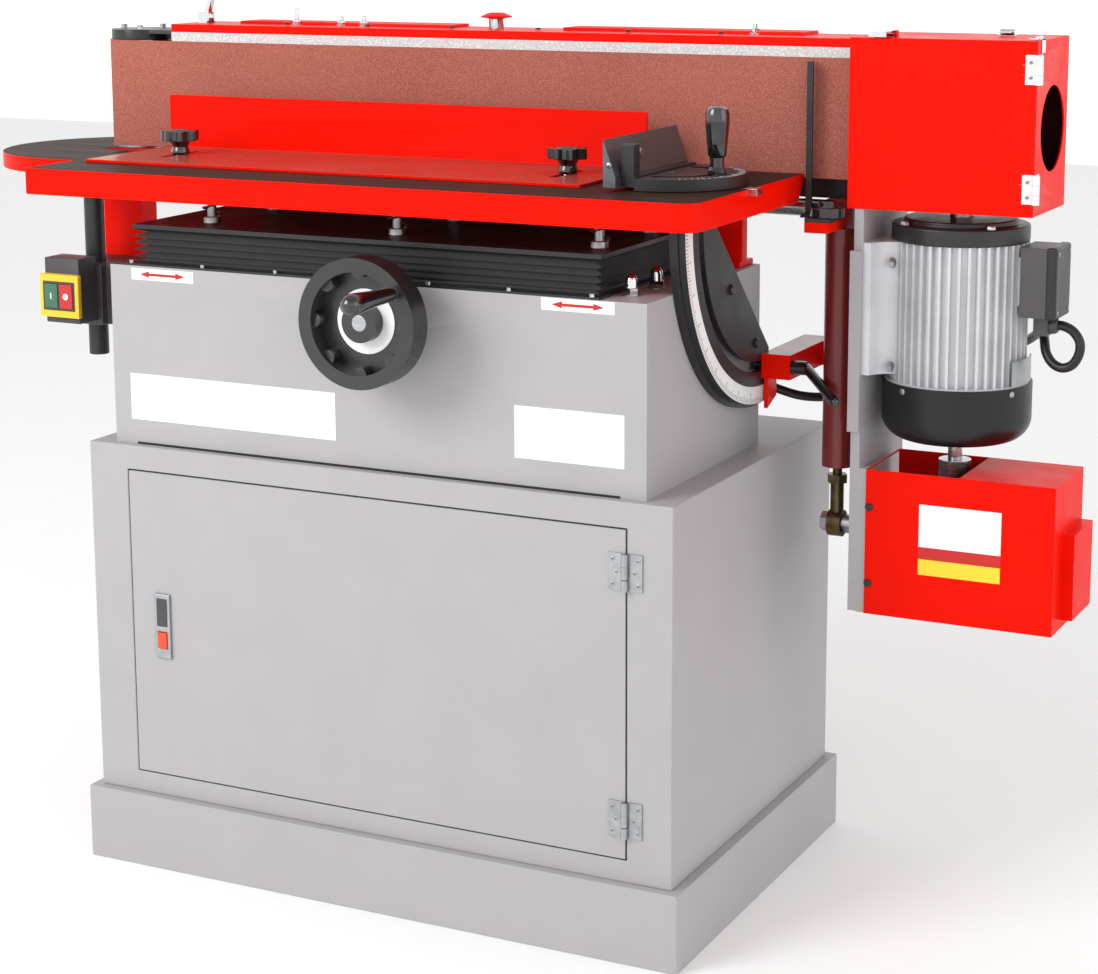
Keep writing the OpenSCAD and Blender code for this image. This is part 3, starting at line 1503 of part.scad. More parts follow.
module tension_lever() {
  color(bright_steel) difference() {
    union() {
      rod_along_y([lever_x, drum_y - lever_w / 2, lever_z], lever_ear_h / 2 - gap, lever_w);
      translate([lever_x, drum_y - lever_w / 2, lever_z]) rotate([0, lever_lean, 0])
        translate([-lever_bar_t / 2, lever_bar_inset, lever_ear_h / 4])
          cube([lever_bar_t, lever_w - 2 * lever_bar_inset, lever_len - lever_ear_h / 4]);
    }
    rod_along_y([lever_x, drum_y - lever_w / 2 - over, lever_z], lever_pin_r + run_fit, lever_w + 2 * over);
  }
}

// Tracking knob: red cap on a bright stem
module tracking_knob() {
  z = cover_z0 + cover_h;
  color(red_paint) {
    rod_along_z([track_x, track_y, frame_z1], track_stem_r, z - frame_z1 + track_stem_h + track_cap_h / 2);
    translate([track_x, track_y, z + track_stem_h]) rotate_extrude()
      polygon([[0, 0], [track_cap_r, track_cap_h / 3], [track_cap_r, track_cap_h / 2],
        [track_cap_r / 2, track_cap_h], [0, track_cap_h]]);
  }
}

// Eccentric shaft with worm wheel and the pin in the rod end
module eccentric() {
  x0 = rod_x - rod_eye_w / 2 - rod_nut_h;
  x1 = rod_x + rod_eye_w / 2 + gap;
  wheel_r = drum_y - tube_y - worm_r - worm_gap;
  color(zinc) {
    rod_along_x([x1, tube_y, rod_z], ecc_shaft_r, drive_x + worm_r - x1);
    rod_along_x([drive_x - worm_r / 2, tube_y, rod_z], wheel_r, worm_r);
    rod_along_x([x0, tube_y + throw, rod_z], ecc_pin_r, x1 - x0 + over);
    translate([x0, tube_y + throw, rod_z]) rotate([0, 90, 0])
      cylinder(r = rod_nut_r, h = rod_nut_h - gap, $fn = 6);
  }
}

// Motor lead in two stretches: the loop at the motor, and the span to the box
module lead_loop() {
  color("#1C1C1E") tube_along(loop_route, lead_r, lead_sides);
}

module lead_span() {
  color("#1C1C1E") tube_along(span_route, lead_r, lead_sides);
}

plinth();
cabinet();
upper_box();
quadrant();
pivot_brackets();
end_bracket();
post_clamp();
switch_housing();
bellows();
bellows_frame();
lift_bushes();
door_hinges();
main_table();
lift_plate();
levelling_springs();
handwheel();
handwheel_shaft();
crank_grip();
lift_screw();
fence();
fence_knob_left();
fence_knob_right();
mitre_bar();
mitre_body();
mitre_grip();
end_table();
end_post();
cabinet_door();
latch_case();
latch_button();
start_button();
stop_button();
tilt_shaft();
tilt_column();
rod_end();
clamp_lever();
work_stop();
stop_knob();
head_frame();
platen();
head_cover();
hood();
motor_plate();
motor_frame();
motor_bell();
fan_cover();
terminal_box();
gear_cover();
sanding_belt();
hood_door();
hood_latch();
drive_drum();
motor_rotor();
idler_drum();
idler_bracket();
tension_lever();
tracking_knob();
eccentric();
lead_loop();
lead_span();
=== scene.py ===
"""Looks of an oscillating edge sander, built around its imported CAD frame.

Lengths in the dataclass fields are millimetres; meshes are in metres in the frame's own axes
(+X along the belt to the motor, +Y to the back, +Z up, origin on the floor).
"""

import json
import logging
import math
from dataclasses import dataclass, field
from enum import Enum
from typing import Callable, Iterable, Optional, Sequence

import bmesh
import bpy
from mathutils import Matrix, Vector

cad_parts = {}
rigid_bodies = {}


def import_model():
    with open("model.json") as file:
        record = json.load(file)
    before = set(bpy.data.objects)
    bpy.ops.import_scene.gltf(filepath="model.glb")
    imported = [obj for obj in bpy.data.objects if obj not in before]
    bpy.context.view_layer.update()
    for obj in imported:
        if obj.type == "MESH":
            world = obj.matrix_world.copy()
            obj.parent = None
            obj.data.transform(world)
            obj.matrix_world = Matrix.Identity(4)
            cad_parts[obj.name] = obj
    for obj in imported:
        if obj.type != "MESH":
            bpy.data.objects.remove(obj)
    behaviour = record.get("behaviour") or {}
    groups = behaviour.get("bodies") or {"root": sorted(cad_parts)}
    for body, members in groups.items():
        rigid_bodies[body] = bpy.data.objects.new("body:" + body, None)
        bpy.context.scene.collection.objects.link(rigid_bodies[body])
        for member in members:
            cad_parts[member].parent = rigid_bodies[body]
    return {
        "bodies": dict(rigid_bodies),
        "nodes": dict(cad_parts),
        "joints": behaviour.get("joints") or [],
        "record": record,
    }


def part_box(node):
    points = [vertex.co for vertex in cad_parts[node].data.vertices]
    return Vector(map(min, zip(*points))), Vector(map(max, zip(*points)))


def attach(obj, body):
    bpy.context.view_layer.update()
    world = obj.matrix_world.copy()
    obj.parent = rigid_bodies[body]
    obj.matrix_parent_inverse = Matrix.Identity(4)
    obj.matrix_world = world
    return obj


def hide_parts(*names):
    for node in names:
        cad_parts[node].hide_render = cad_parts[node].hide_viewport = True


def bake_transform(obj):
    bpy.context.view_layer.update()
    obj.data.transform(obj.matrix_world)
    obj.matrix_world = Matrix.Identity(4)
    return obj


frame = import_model()

LOG = logging.getLogger("edge_sander")
PHOTO_SIZE = (1098, 974)
Point = Sequence[float]
Profile = Sequence[tuple[float, float]]
Zone = tuple[Callable[[Vector, Vector], bool], "Finish"]

# Shares of a noise value between which colour and gloss change.
NOISE_LOW, NOISE_HIGH = 0.3, 0.7
NOISE_ROUGHNESS = 0.6
LEAST_ROUGHNESS = 0.02
COAT_ROUGHNESS = 0.06
# Edges sharper than this stay sharp, and are rounded in this many steps.
SMOOTH_DEG = 35.0
EDGE_STEPS = 2
# Points closer than this are one, and faces within this angle are one flat face.
WELD_M = 1e-6
FLAT_DEG = 0.5
# Thickness of a printed film in front of its face, and how far it sits in it, in millimetres.
FILM_PROUD, FILM_SUNK = 0.4, 0.2
# Spare that tells a face from its neighbours, in millimetres, and the least rise of a face that looks up.
FACE_SPARE, UPWARD = 0.2, 0.9
# Form of a screw head: depth in the surface, share of the straight rim, width of the dome and of the recess.
HEAD_SUNK, RIM_SHARE, DOME_SHARE, RECESS_SHARE = 0.5, 0.6, 0.72, 0.42
RECESS_DEPTH, RECESS_T = 0.35, 0.4
HEXAGON = 6


class Axis(Enum):
    """Directions that a turned piece or a row of screws can face."""

    X = (1.0, 0.0, 0.0)
    Y = (0.0, 1.0, 0.0)
    Z = (0.0, 0.0, 1.0)
    FRONT = (0.0, -1.0, 0.0)
    DOWN = (0.0, 0.0, -1.0)

    @property
    def vector(self) -> Vector:
        """The direction as a vector."""
        return Vector(self.value)


def metres(point: Point) -> Vector:
    """Turns a point in millimetres into metres."""
    return Vector(point) / 1000.0


def linear(hex_colour: str) -> tuple[float, float, float, float]:
    """Turns an sRGB hex colour into linear RGBA.

    Args:
        hex_colour: Six hex digits after a hash sign.

    Returns:
        Linear red, green, blue and full alpha.
    """
    parts = [int(hex_colour[i : i + 2], 16) / 255.0 for i in (1, 3, 5)]
    curve = [c / 12.92 if c <= 0.04045 else ((c + 0.055) / 1.055) ** 2.4 for c in parts]
    return (curve[0], curve[1], curve[2], 1.0)


def add_node(
    tree: bpy.types.NodeTree,
    kind: str,
    settings: Optional[dict] = None,
    inputs: Optional[dict] = None,
) -> bpy.types.Node:
    """Adds one shader node with its settings, values and links.

    Args:
        tree: The material's node tree.
        kind: Blender's type name of the node.
        settings: Node properties by name.
        inputs: Values, or output sockets to link from, by input name or number.

    Returns:
        The new node.
    """
    node = tree.nodes.new(kind)
    for name, value in (settings or {}).items():
        setattr(node, name, value)
    for name, value in (inputs or {}).items():
        socket = node.inputs[name]
        if isinstance(value, bpy.types.NodeSocket):
            tree.links.new(value, socket)
        else:
            socket.default_value = value
    return node


@dataclass(frozen=True)
class Finish:
    """A surface finish with mottled colour, uneven gloss and a fine relief."""

    name: str
    slot: str
    hue: str
    shade: str
    roughness: float
    gloss_spread: float = 0.06
    metallic: float = 0.0
    ior: float = 1.5
    coat: float = 0.0
    specular: float = 0.5
    mottle_mm: float = 90.0
    grain_mm: float = 1.2
    grain_depth_mm: float = 0.02
    stretch: tuple[float, float, float] = (1.0, 1.0, 1.0)

    def material(self) -> bpy.types.Material:
        """Returns the Blender material of this finish, made on first use."""
        found = bpy.data.materials.get(self.name)
        if found is not None:
            return found
        made = bpy.data.materials.new(self.name)
        made.use_nodes = True
        made.diffuse_color = linear(self.hue)
        made.node_tree.nodes.clear()
        self.shade_surface(made.node_tree)
        return made

    def shade_surface(self, tree: bpy.types.NodeTree) -> None:
        """Builds the shader of the finish in an empty node tree."""
        where = self.place(tree)
        colour = self.colour(tree, where)
        self.surface(tree, colour, self.gloss(tree, where), self.relief(tree, where))

    def place(self, tree: bpy.types.NodeTree) -> bpy.types.NodeSocket:
        """Returns object coordinates in metres, stretched along the finish's grain."""
        coordinates = add_node(tree, "ShaderNodeTexCoord")
        mapping = add_node(
            tree,
            "ShaderNodeMapping",
            inputs={"Vector": coordinates.outputs["Object"], "Scale": self.stretch},
        )
        return mapping.outputs["Vector"]

    def noise(
        self, tree: bpy.types.NodeTree, where: bpy.types.NodeSocket, size_mm: float, detail: float
    ) -> bpy.types.NodeSocket:
        """Returns a noise value whose features are about size_mm across."""
        node = add_node(
            tree,
            "ShaderNodeTexNoise",
            inputs={"Vector": where, "Scale": 1000.0 / size_mm, "Detail": detail, "Roughness": NOISE_ROUGHNESS},
        )
        return node.outputs["Fac"]

    def colour(self, tree: bpy.types.NodeTree, where: bpy.types.NodeSocket) -> bpy.types.NodeSocket:
        """Returns the mottled base colour."""
        ramp = add_node(
            tree, "ShaderNodeValToRGB", inputs={"Fac": self.noise(tree, where, self.mottle_mm, 5.0)}
        )
        ramp.color_ramp.elements[0].position = NOISE_LOW
        ramp.color_ramp.elements[1].position = NOISE_HIGH
        ramp.color_ramp.elements[0].color = linear(self.shade)
        ramp.color_ramp.elements[1].color = linear(self.hue)
        return ramp.outputs["Color"]

    def gloss(self, tree: bpy.types.NodeTree, where: bpy.types.NodeSocket) -> bpy.types.NodeSocket:
        """Returns the roughness, uneven as handled or weathered surfaces are."""
        spread = add_node(
            tree,
            "ShaderNodeMapRange",
            inputs={
                "Value": self.noise(tree, where, self.mottle_mm / 2, 4.0),
                "From Min": NOISE_LOW,
                "From Max": NOISE_HIGH,
                "To Min": max(self.roughness - self.gloss_spread, LEAST_ROUGHNESS),
                "To Max": min(self.roughness + self.gloss_spread, 1.0),
            },
        )
        return spread.outputs["Result"]

    def relief(self, tree: bpy.types.NodeTree, where: bpy.types.NodeSocket) -> bpy.types.NodeSocket:
        """Returns a normal with the finish's fine relief."""
        bump = add_node(
            tree,
            "ShaderNodeBump",
            inputs={
                "Height": self.noise(tree, where, self.grain_mm, 2.0),
                "Distance": self.grain_depth_mm / 1000.0,
                "Strength": 1.0,
            },
        )
        return bump.outputs["Normal"]

    def surface(
        self,
        tree: bpy.types.NodeTree,
        colour: bpy.types.NodeSocket,
        gloss: bpy.types.NodeSocket,
        normal: bpy.types.NodeSocket,
    ) -> None:
        """Joins colour, gloss and normal in the shader of the finish."""
        values = {
            "Base Color": colour,
            "Roughness": gloss,
            "Normal": normal,
            "Metallic": self.metallic,
            "Coat Weight": self.coat,
            "Coat Roughness": COAT_ROUGHNESS,
        }
        if self.metallic < 0.5:
            values["IOR"] = self.ior
            values["Specular IOR Level"] = self.specular
        shader = add_node(tree, "ShaderNodeBsdfPrincipled", inputs=values)
        add_node(tree, "ShaderNodeOutputMaterial", inputs={"Surface": shader.outputs["BSDF"]})


@dataclass(frozen=True)
class SpeckledFinish(Finish):
    """A finish with a third colour in scattered grains."""

    speck: str = "#FFFFFF"
    speck_mm: float = 2.0
    speck_share: float = 0.35

    def colour(self, tree: bpy.types.NodeTree, where: bpy.types.NodeSocket) -> bpy.types.NodeSocket:
        """Returns the mottled colour with specks over it."""
        mask = add_node(
            tree,
            "ShaderNodeMapRange",
            inputs={
                "Value": self.noise(tree, where, self.speck_mm, 1.0),
                "From Min": 0.66 - self.speck_share * 0.4,
                "From Max": 0.72 - self.speck_share * 0.2,
            },
        )
        mix = add_node(
            tree,
            "ShaderNodeMix",
            settings={"data_type": "RGBA"},
            inputs={0: mask.outputs["Result"], 6: super().colour(tree, where), 7: linear(self.speck)},
        )
        return mix.outputs[2]


# Grey powder coat over folded steel: satin, with the fine peel of baked powder.
POWDER_COAT = Finish(
    "grey powder coat", "grey_powder_coat", "#ACAAAC", "#A8A6A8", 0.5, specular=0.25, grain_mm=1.6,
    grain_depth_mm=0.03,
)
# Red machine enamel, sprayed: a bright even red with a soft gloss, slightly wavy.
RED_ENAMEL = Finish(
    "red machine enamel", "red_paint", "#EE1200", "#E81100", 0.36, specular=0.06, grain_mm=9.0, grain_depth_mm=0.02
)
# Inside of the hood: the red enamel darkened to near black as painted shade, where no light reaches.
HOOD_INSIDE_SHADE = Finish("red enamel in painted hood shade", "dark_red_paint", "#2C0907", "#220605", 0.7, specular=0.1, grain_mm=3.0)
# The red enamel darkened as painted shade, on the tilting column under the head and on the rib under the table.
SHADED_RED_ENAMEL = Finish("red enamel in painted shade", "dark_red_paint", "#7A1712", "#651310", 0.35, coat=0.3, grain_mm=7.0)
# Red enamel on the flat of the fence: dull, with a brown-red colour and broad paler patches that are painted reflection
# of the belt and of glare.
FENCE_REFLECTION_ENAMEL = Finish(
    "red enamel with painted belt reflection", "red_paint", "#B4473B", "#A53E32", 0.26, specular=0.3, mottle_mm=180.0, grain_mm=4.0,
    grain_depth_mm=0.02,
)
# Black paint on castings: satin, with the sand texture of the casting under it.
CAST_BLACK = Finish(
    "black paint on casting", "black_paint", "#242326", "#1C1B1E", 0.45, grain_mm=2.2, grain_depth_mm=0.12
)
# Black paint on machined steel: smooth satin.
SATIN_BLACK = Finish("satin black paint", "black_paint", "#242426", "#1C1C1E", 0.38, grain_mm=1.0)
# Dark grey enamel of the motor's fan cover: half dull, lighter than the castings.
MOTOR_GREY = Finish(
    "dark grey motor enamel", "black_paint", "#1A191B", "#161517", 0.36, specular=0.4, grain_mm=1.6, grain_depth_mm=0.03
)
# The same enamel on the rough end bell, with the casting's pores.
BELL_GREY = Finish(
    "dark grey enamel on casting", "black_paint", "#2C2A2D", "#201E21", 0.36, grain_mm=3.0, grain_depth_mm=0.3
)
# Ground cast iron table, blackened and oiled: dark, with a brown tint that is painted reflection of the red parts, and
# fine grinding lines along the table.
GROUND_IRON = Finish(
    "ground cast iron",
    "cast_iron",
    "#43302A",
    "#382720",
    0.45,
    specular=0.02,
    stretch=(0.06, 1.0, 1.0),
    mottle_mm=30.0,
    grain_mm=1.0,
    grain_depth_mm=0.02,
)
# Rubber-coated fabric of the bellows: dull black with a soft sheen.
BELLOWS_RUBBER = Finish(
    "bellows rubber", "bellows_rubber", "#232123", "#1B191B", 0.5, grain_mm=1.4, grain_depth_mm=0.05
)
# Moulded phenolic of wheel, knobs and grips: deep black and polished.
PHENOLIC = Finish(
    "moulded phenolic", "black_plastic", "#141416", "#101012", 0.16, coat=1.0, grain_mm=6.0, grain_depth_mm=0.01
)
# Moulded rubber-like plastic of the handwheel rim: satin black with a broad grey sheen.
WHEEL_PLASTIC = Finish(
    "satin wheel plastic", "black_plastic", "#232325", "#1E1E20", 0.32, specular=0.75, grain_mm=1.2, grain_depth_mm=0.02
)
# Cast zinc of the wheel hub: grey and coarse.
HUB_CASTING = Finish(
    "grey hub casting", "zinc_steel", "#807F80", "#666566", 0.5, metallic=0.6, mottle_mm=8.0, grain_mm=2.5,
    grain_depth_mm=0.3,
)
# Grey plastic of the terminal box.
TERMINAL_GREY = Finish("grey moulded ABS", "black_plastic", "#4B494B", "#424042", 0.46, ior=1.54, grain_mm=1.0)
# Black lid of the terminal box.
LID_BLACK = Finish("black moulded ABS", "black_plastic", "#1C1B1D", "#171618", 0.4, ior=1.54, grain_mm=1.0)
# Moulded ABS of the switch and the post clamp: fine spark-eroded texture.
DARK_ABS = Finish(
    "dark moulded ABS", "black_plastic", "#413F43", "#3A383C", 0.45, ior=1.54, grain_mm=1.0, grain_depth_mm=0.03
)
# Yellow ABS plate round the buttons.
YELLOW_ABS = Finish("yellow moulded ABS", "orange_button", "#EFC92F", "#E8C029", 0.35, ior=1.54, grain_mm=1.2)
GREEN_ABS = Finish("green button ABS", "green_button", "#3F7457", "#386A4F", 0.28, ior=1.54)
RED_ABS = Finish("red button ABS", "red_button", "#CC2A22", "#C0251E", 0.28, ior=1.54)
ORANGE_ABS = Finish("orange latch ABS", "orange_button", "#E8481B", "#DE4318", 0.3, ior=1.54)
# Turned bright steel: fine rings, clear reflections.
TURNED_STEEL = Finish(
    "turned bright steel", "bright_steel", "#C8CACC", "#B4B6B8", 0.26, metallic=1.0, mottle_mm=25.0,
    stretch=(1.0, 1.0, 6.0), grain_mm=1.5, grain_depth_mm=0.02,
)
# Zinc plating: pale, slightly cloudy steel.
ZINC_PLATE = Finish("zinc-plated steel", "zinc_steel", "#B7B9BA", "#9FA2A4", 0.36, metallic=1.0, mottle_mm=14.0)
# Bright hinge steel, nearly white in flat light.
PALE_ZINC = Finish("bright hinge plating", "zinc_steel", "#ECEDEE", "#E2E3E5", 0.34, metallic=0.1, mottle_mm=10.0)
# Chrome plating on the tension lever and the catches.
CHROME = Finish(
    "chrome plating", "chrome", "#DADCDD", "#D2D4D6", 0.08, gloss_spread=0.03, metallic=1.0, grain_depth_mm=0.002
)
# Die-cast motor housing, painted silver: pale and finely grained.
SILVER_CASTING = Finish(
    "silver-painted casting", "motor_aluminium", "#D4D5D8", "#C8C9CC", 0.42, metallic=0.2, mottle_mm=40.0,
    grain_mm=1.4, grain_depth_mm=0.06,
)
# Yellow-passivated rod end: olive gold.
PASSIVATED = Finish(
    "yellow-passivated steel", "rod_end_brass", "#6E6040", "#443B28", 0.34, metallic=0.9, mottle_mm=12.0
)
# Cloth-backed abrasive: red-brown resin with fine pale and dark grains.
ABRASIVE = SpeckledFinish(
    "cloth-backed abrasive", "abrasive_belt", "#A15A4D", "#965247", 0.9, specular=0.1, mottle_mm=120.0, grain_mm=1.2,
    grain_depth_mm=0.18, speck="#BE7B6D", speck_mm=1.2, speck_share=0.45,
)
# Ground platen edge: pale warm grey, softly clouded.
PLATEN_STEEL = SpeckledFinish(
    "ground platen steel", "bright_steel", "#CDC9C9", "#BFBBBB", 0.45, specular=0.3, mottle_mm=14.0, grain_mm=2.0,
    grain_depth_mm=0.03, speck="#E2E0E0", speck_mm=2.4, speck_share=0.4,
)
# Sheathed motor lead: smooth black rubber.
LEAD_RUBBER = Finish("lead sheath rubber", "lead_rubber", "#151517", "#111113", 0.4, grain_mm=1.5)
# Printed plates and scales: white film.
WHITE_FILM = Finish("white printed film", "grey_powder_coat", "#F3F3F2", "#ECECEB", 0.35, grain_depth_mm=0.004)
RED_FILM = Finish("red printed film", "red_paint", "#C8150C", "#BE130A", 0.35, grain_depth_mm=0.004)
YELLOW_FILM = Finish("yellow printed film", "orange_button", "#F1D42C", "#EBCD26", 0.35, grain_depth_mm=0.004)
BLACK_FILM = Finish("black printed film", "black_paint", "#1A1A1A", "#161616", 0.4, grain_depth_mm=0.004)
# Grey aluminium of the mitre gauge: anodised and fine-lined.
GREY_ANODISED = Finish(
    "grey anodised aluminium", "black_paint", "#6E7075", "#606267", 0.36, metallic=0.7, mottle_mm=20.0,
    stretch=(1.0, 1.0, 8.0), grain_mm=1.2,
)
# Seamless white floor of the studio: matt and without grain.
FLOOR_WHITE = Finish(
    "pale studio floor", "grey_powder_coat", "#FFFFFF", "#FEFEFE", 0.7, specular=0.1, grain_depth_mm=0.0
)


class Shape:
    """A mesh in the making, with one material number per finish."""

    def __init__(self) -> None:
        """Starts an empty mesh."""
        self.bm = bmesh.new()
        self.finishes: list[Finish] = []

    def number(self, finish: Finish) -> int:
        """Returns the material number of a finish, adding it when new."""
        if finish not in self.finishes:
            self.finishes.append(finish)
        return self.finishes.index(finish)

    def faces_of(self, verts: Iterable[bmesh.types.BMVert], finish: Finish) -> None:
        """Gives a finish to all faces of some new vertices."""
        number = self.number(finish)
        for face in {f for v in verts for f in v.link_faces}:
            face.material_index = number

    def box(self, low: Point, high: Point, finish: Finish) -> None:
        """Adds a block between two corners in millimetres."""
        a, b = metres(low), metres(high)
        matrix = Matrix.Translation((a + b) / 2) @ Matrix.Diagonal((*(b - a), 1.0))
        self.faces_of(bmesh.ops.create_cube(self.bm, size=1.0, matrix=matrix)["verts"], finish)

    def lathe(
        self, start: Point, axis: Vector, profile: Profile, finish: Finish, sides: int = 48
    ) -> None:
        """Adds a turned body.

        Args:
            start: Point on the axis in millimetres.
            axis: Direction of the axis.
            profile: Pairs of distance along the axis and radius, in millimetres, from end to end.
            finish: The finish of its faces.
            sides: Facets round the axis.
        """
        along = axis.normalized()
        side = along.orthogonal().normalized()
        other = along.cross(side)
        origin = metres(start)
        rings = [
            self.ring(origin + along * distance / 1000.0, side, other, radius, sides) for distance, radius in profile
        ]
        self.skin(rings, finish)

    def ring(
        self, centre: Vector, side: Vector, other: Vector, radius: float, sides: int
    ) -> list[bmesh.types.BMVert]:
        """Adds a ring of points round a centre in metres; the radius is in millimetres."""
        turns = [2 * math.pi * i / sides for i in range(sides)]
        return [
            self.bm.verts.new(centre + (side * math.cos(t) + other * math.sin(t)) * radius / 1000.0) for t in turns
        ]

    def skin(self, rings: Sequence[list[bmesh.types.BMVert]], finish: Finish) -> None:
        """Closes a row of rings to a body with flat ends."""
        faces = []
        for lower, upper in zip(rings, rings[1:]):
            for i in range(len(lower)):
                j = (i + 1) % len(lower)
                faces.append(self.bm.faces.new((lower[i], lower[j], upper[j], upper[i])))
        faces += [self.bm.faces.new(list(reversed(rings[0]))), self.bm.faces.new(rings[-1])]
        number = self.number(finish)
        for face in faces:
            face.material_index = number

    def film(self, low: Point, high: Point, front: float, finish: Finish) -> None:
        """Adds a printed film on a face that looks to the front, between two corners in x and z."""
        (x0, z0), (x1, z1) = low, high
        self.box((x0, front - FILM_PROUD, z0), (x1, front + FILM_SUNK, z1), finish)

    def rod(
        self,
        start: Point,
        axis: Vector,
        length: float,
        radius: float,
        finish: Finish,
        sides: int = 32,
        chamfer: float = 0.0,
    ) -> None:
        """Adds a cylinder with an optional chamfer at its far end."""
        profile = [(0.0, radius), (length - chamfer, radius)]
        if chamfer > 0:
            profile.append((length, radius - chamfer))
        self.lathe(start, axis, profile, finish, sides)

    def prism(self, outline: Sequence[Point], offset: Vector, finish: Finish) -> None:
        """Adds a flat plate from an outline in millimetres, thickened by an offset in millimetres."""
        number = self.number(finish)
        near = [self.bm.verts.new(metres(p)) for p in outline]
        far = [self.bm.verts.new(metres(Vector(p) + offset)) for p in outline]
        faces = [self.bm.faces.new(near), self.bm.faces.new(list(reversed(far)))]
        for i in range(len(near)):
            j = (i + 1) % len(near)
            faces.append(self.bm.faces.new((near[i], far[i], far[j], near[j])))
        for face in faces:
            face.material_index = number

    def finish_mesh(self, name: str, edge: float, smooth_deg: float = SMOOTH_DEG) -> bpy.types.Object:
        """Turns the mesh into a scene object with softened edges.

        Args:
            name: Name of the object.
            edge: Width of the edge rounding in millimetres, or zero.
            smooth_deg: Edges sharper than this stay sharp.

        Returns:
            The new object, at the origin.
        """
        bmesh.ops.recalc_face_normals(self.bm, faces=self.bm.faces)
        mesh = bpy.data.meshes.new(name)
        self.bm.to_mesh(mesh)
        self.bm.free()
        for finish in self.finishes:
            mesh.materials.append(finish.material())
        return place_mesh(name, mesh, edge, smooth_deg)


def place_mesh(name: str, mesh: bpy.types.Mesh, edge: float, smooth_deg: float) -> bpy.types.Object:
    """Links a mesh as an object, smooth on its curves and rounded on its edges.

    Args:
        name: Name of the object.
        mesh: The finished mesh.
        edge: Width of the edge rounding in millimetres, or zero.
        smooth_deg: Edges sharper than this stay sharp.

    Returns:
        The new object.
    """
    piece = bpy.data.objects.new(name, mesh)
    bpy.context.scene.collection.objects.link(piece)
    mesh.polygons.foreach_set("use_smooth", [True] * len(mesh.polygons))
    mesh.set_sharp_from_angle(angle=math.radians(smooth_deg))
    if edge > 0:
        bevel = piece.modifiers.new("edge rounding", "BEVEL")
        bevel.width = edge / 1000.0
        bevel.segments = EDGE_STEPS
        bevel.limit_method = "ANGLE"
        bevel.angle_limit = math.radians(smooth_deg)
        bevel.harden_normals = True
    return piece


def box_mm(node: str) -> tuple[Vector, Vector]:
    """Returns the low and high corners of a CAD node's box in millimetres."""
    low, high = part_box(node)
    return low * 1000.0, high * 1000.0


def middle_of(node: str) -> Vector:
    """Returns the middle of a CAD node's box in millimetres."""
    low, high = box_mm(node)
    return (low + high) / 2


def flat_faces(source: bpy.types.Mesh) -> bmesh.types.BMesh:
    """Returns a copy of a CAD node's mesh with the triangles of each flat face joined."""
    bm = bmesh.new()
    bm.from_mesh(source)
    bmesh.ops.remove_doubles(bm, verts=bm.verts, dist=WELD_M)
    bmesh.ops.dissolve_limit(bm, angle_limit=math.radians(FLAT_DEG), verts=bm.verts, edges=bm.edges)
    return bm


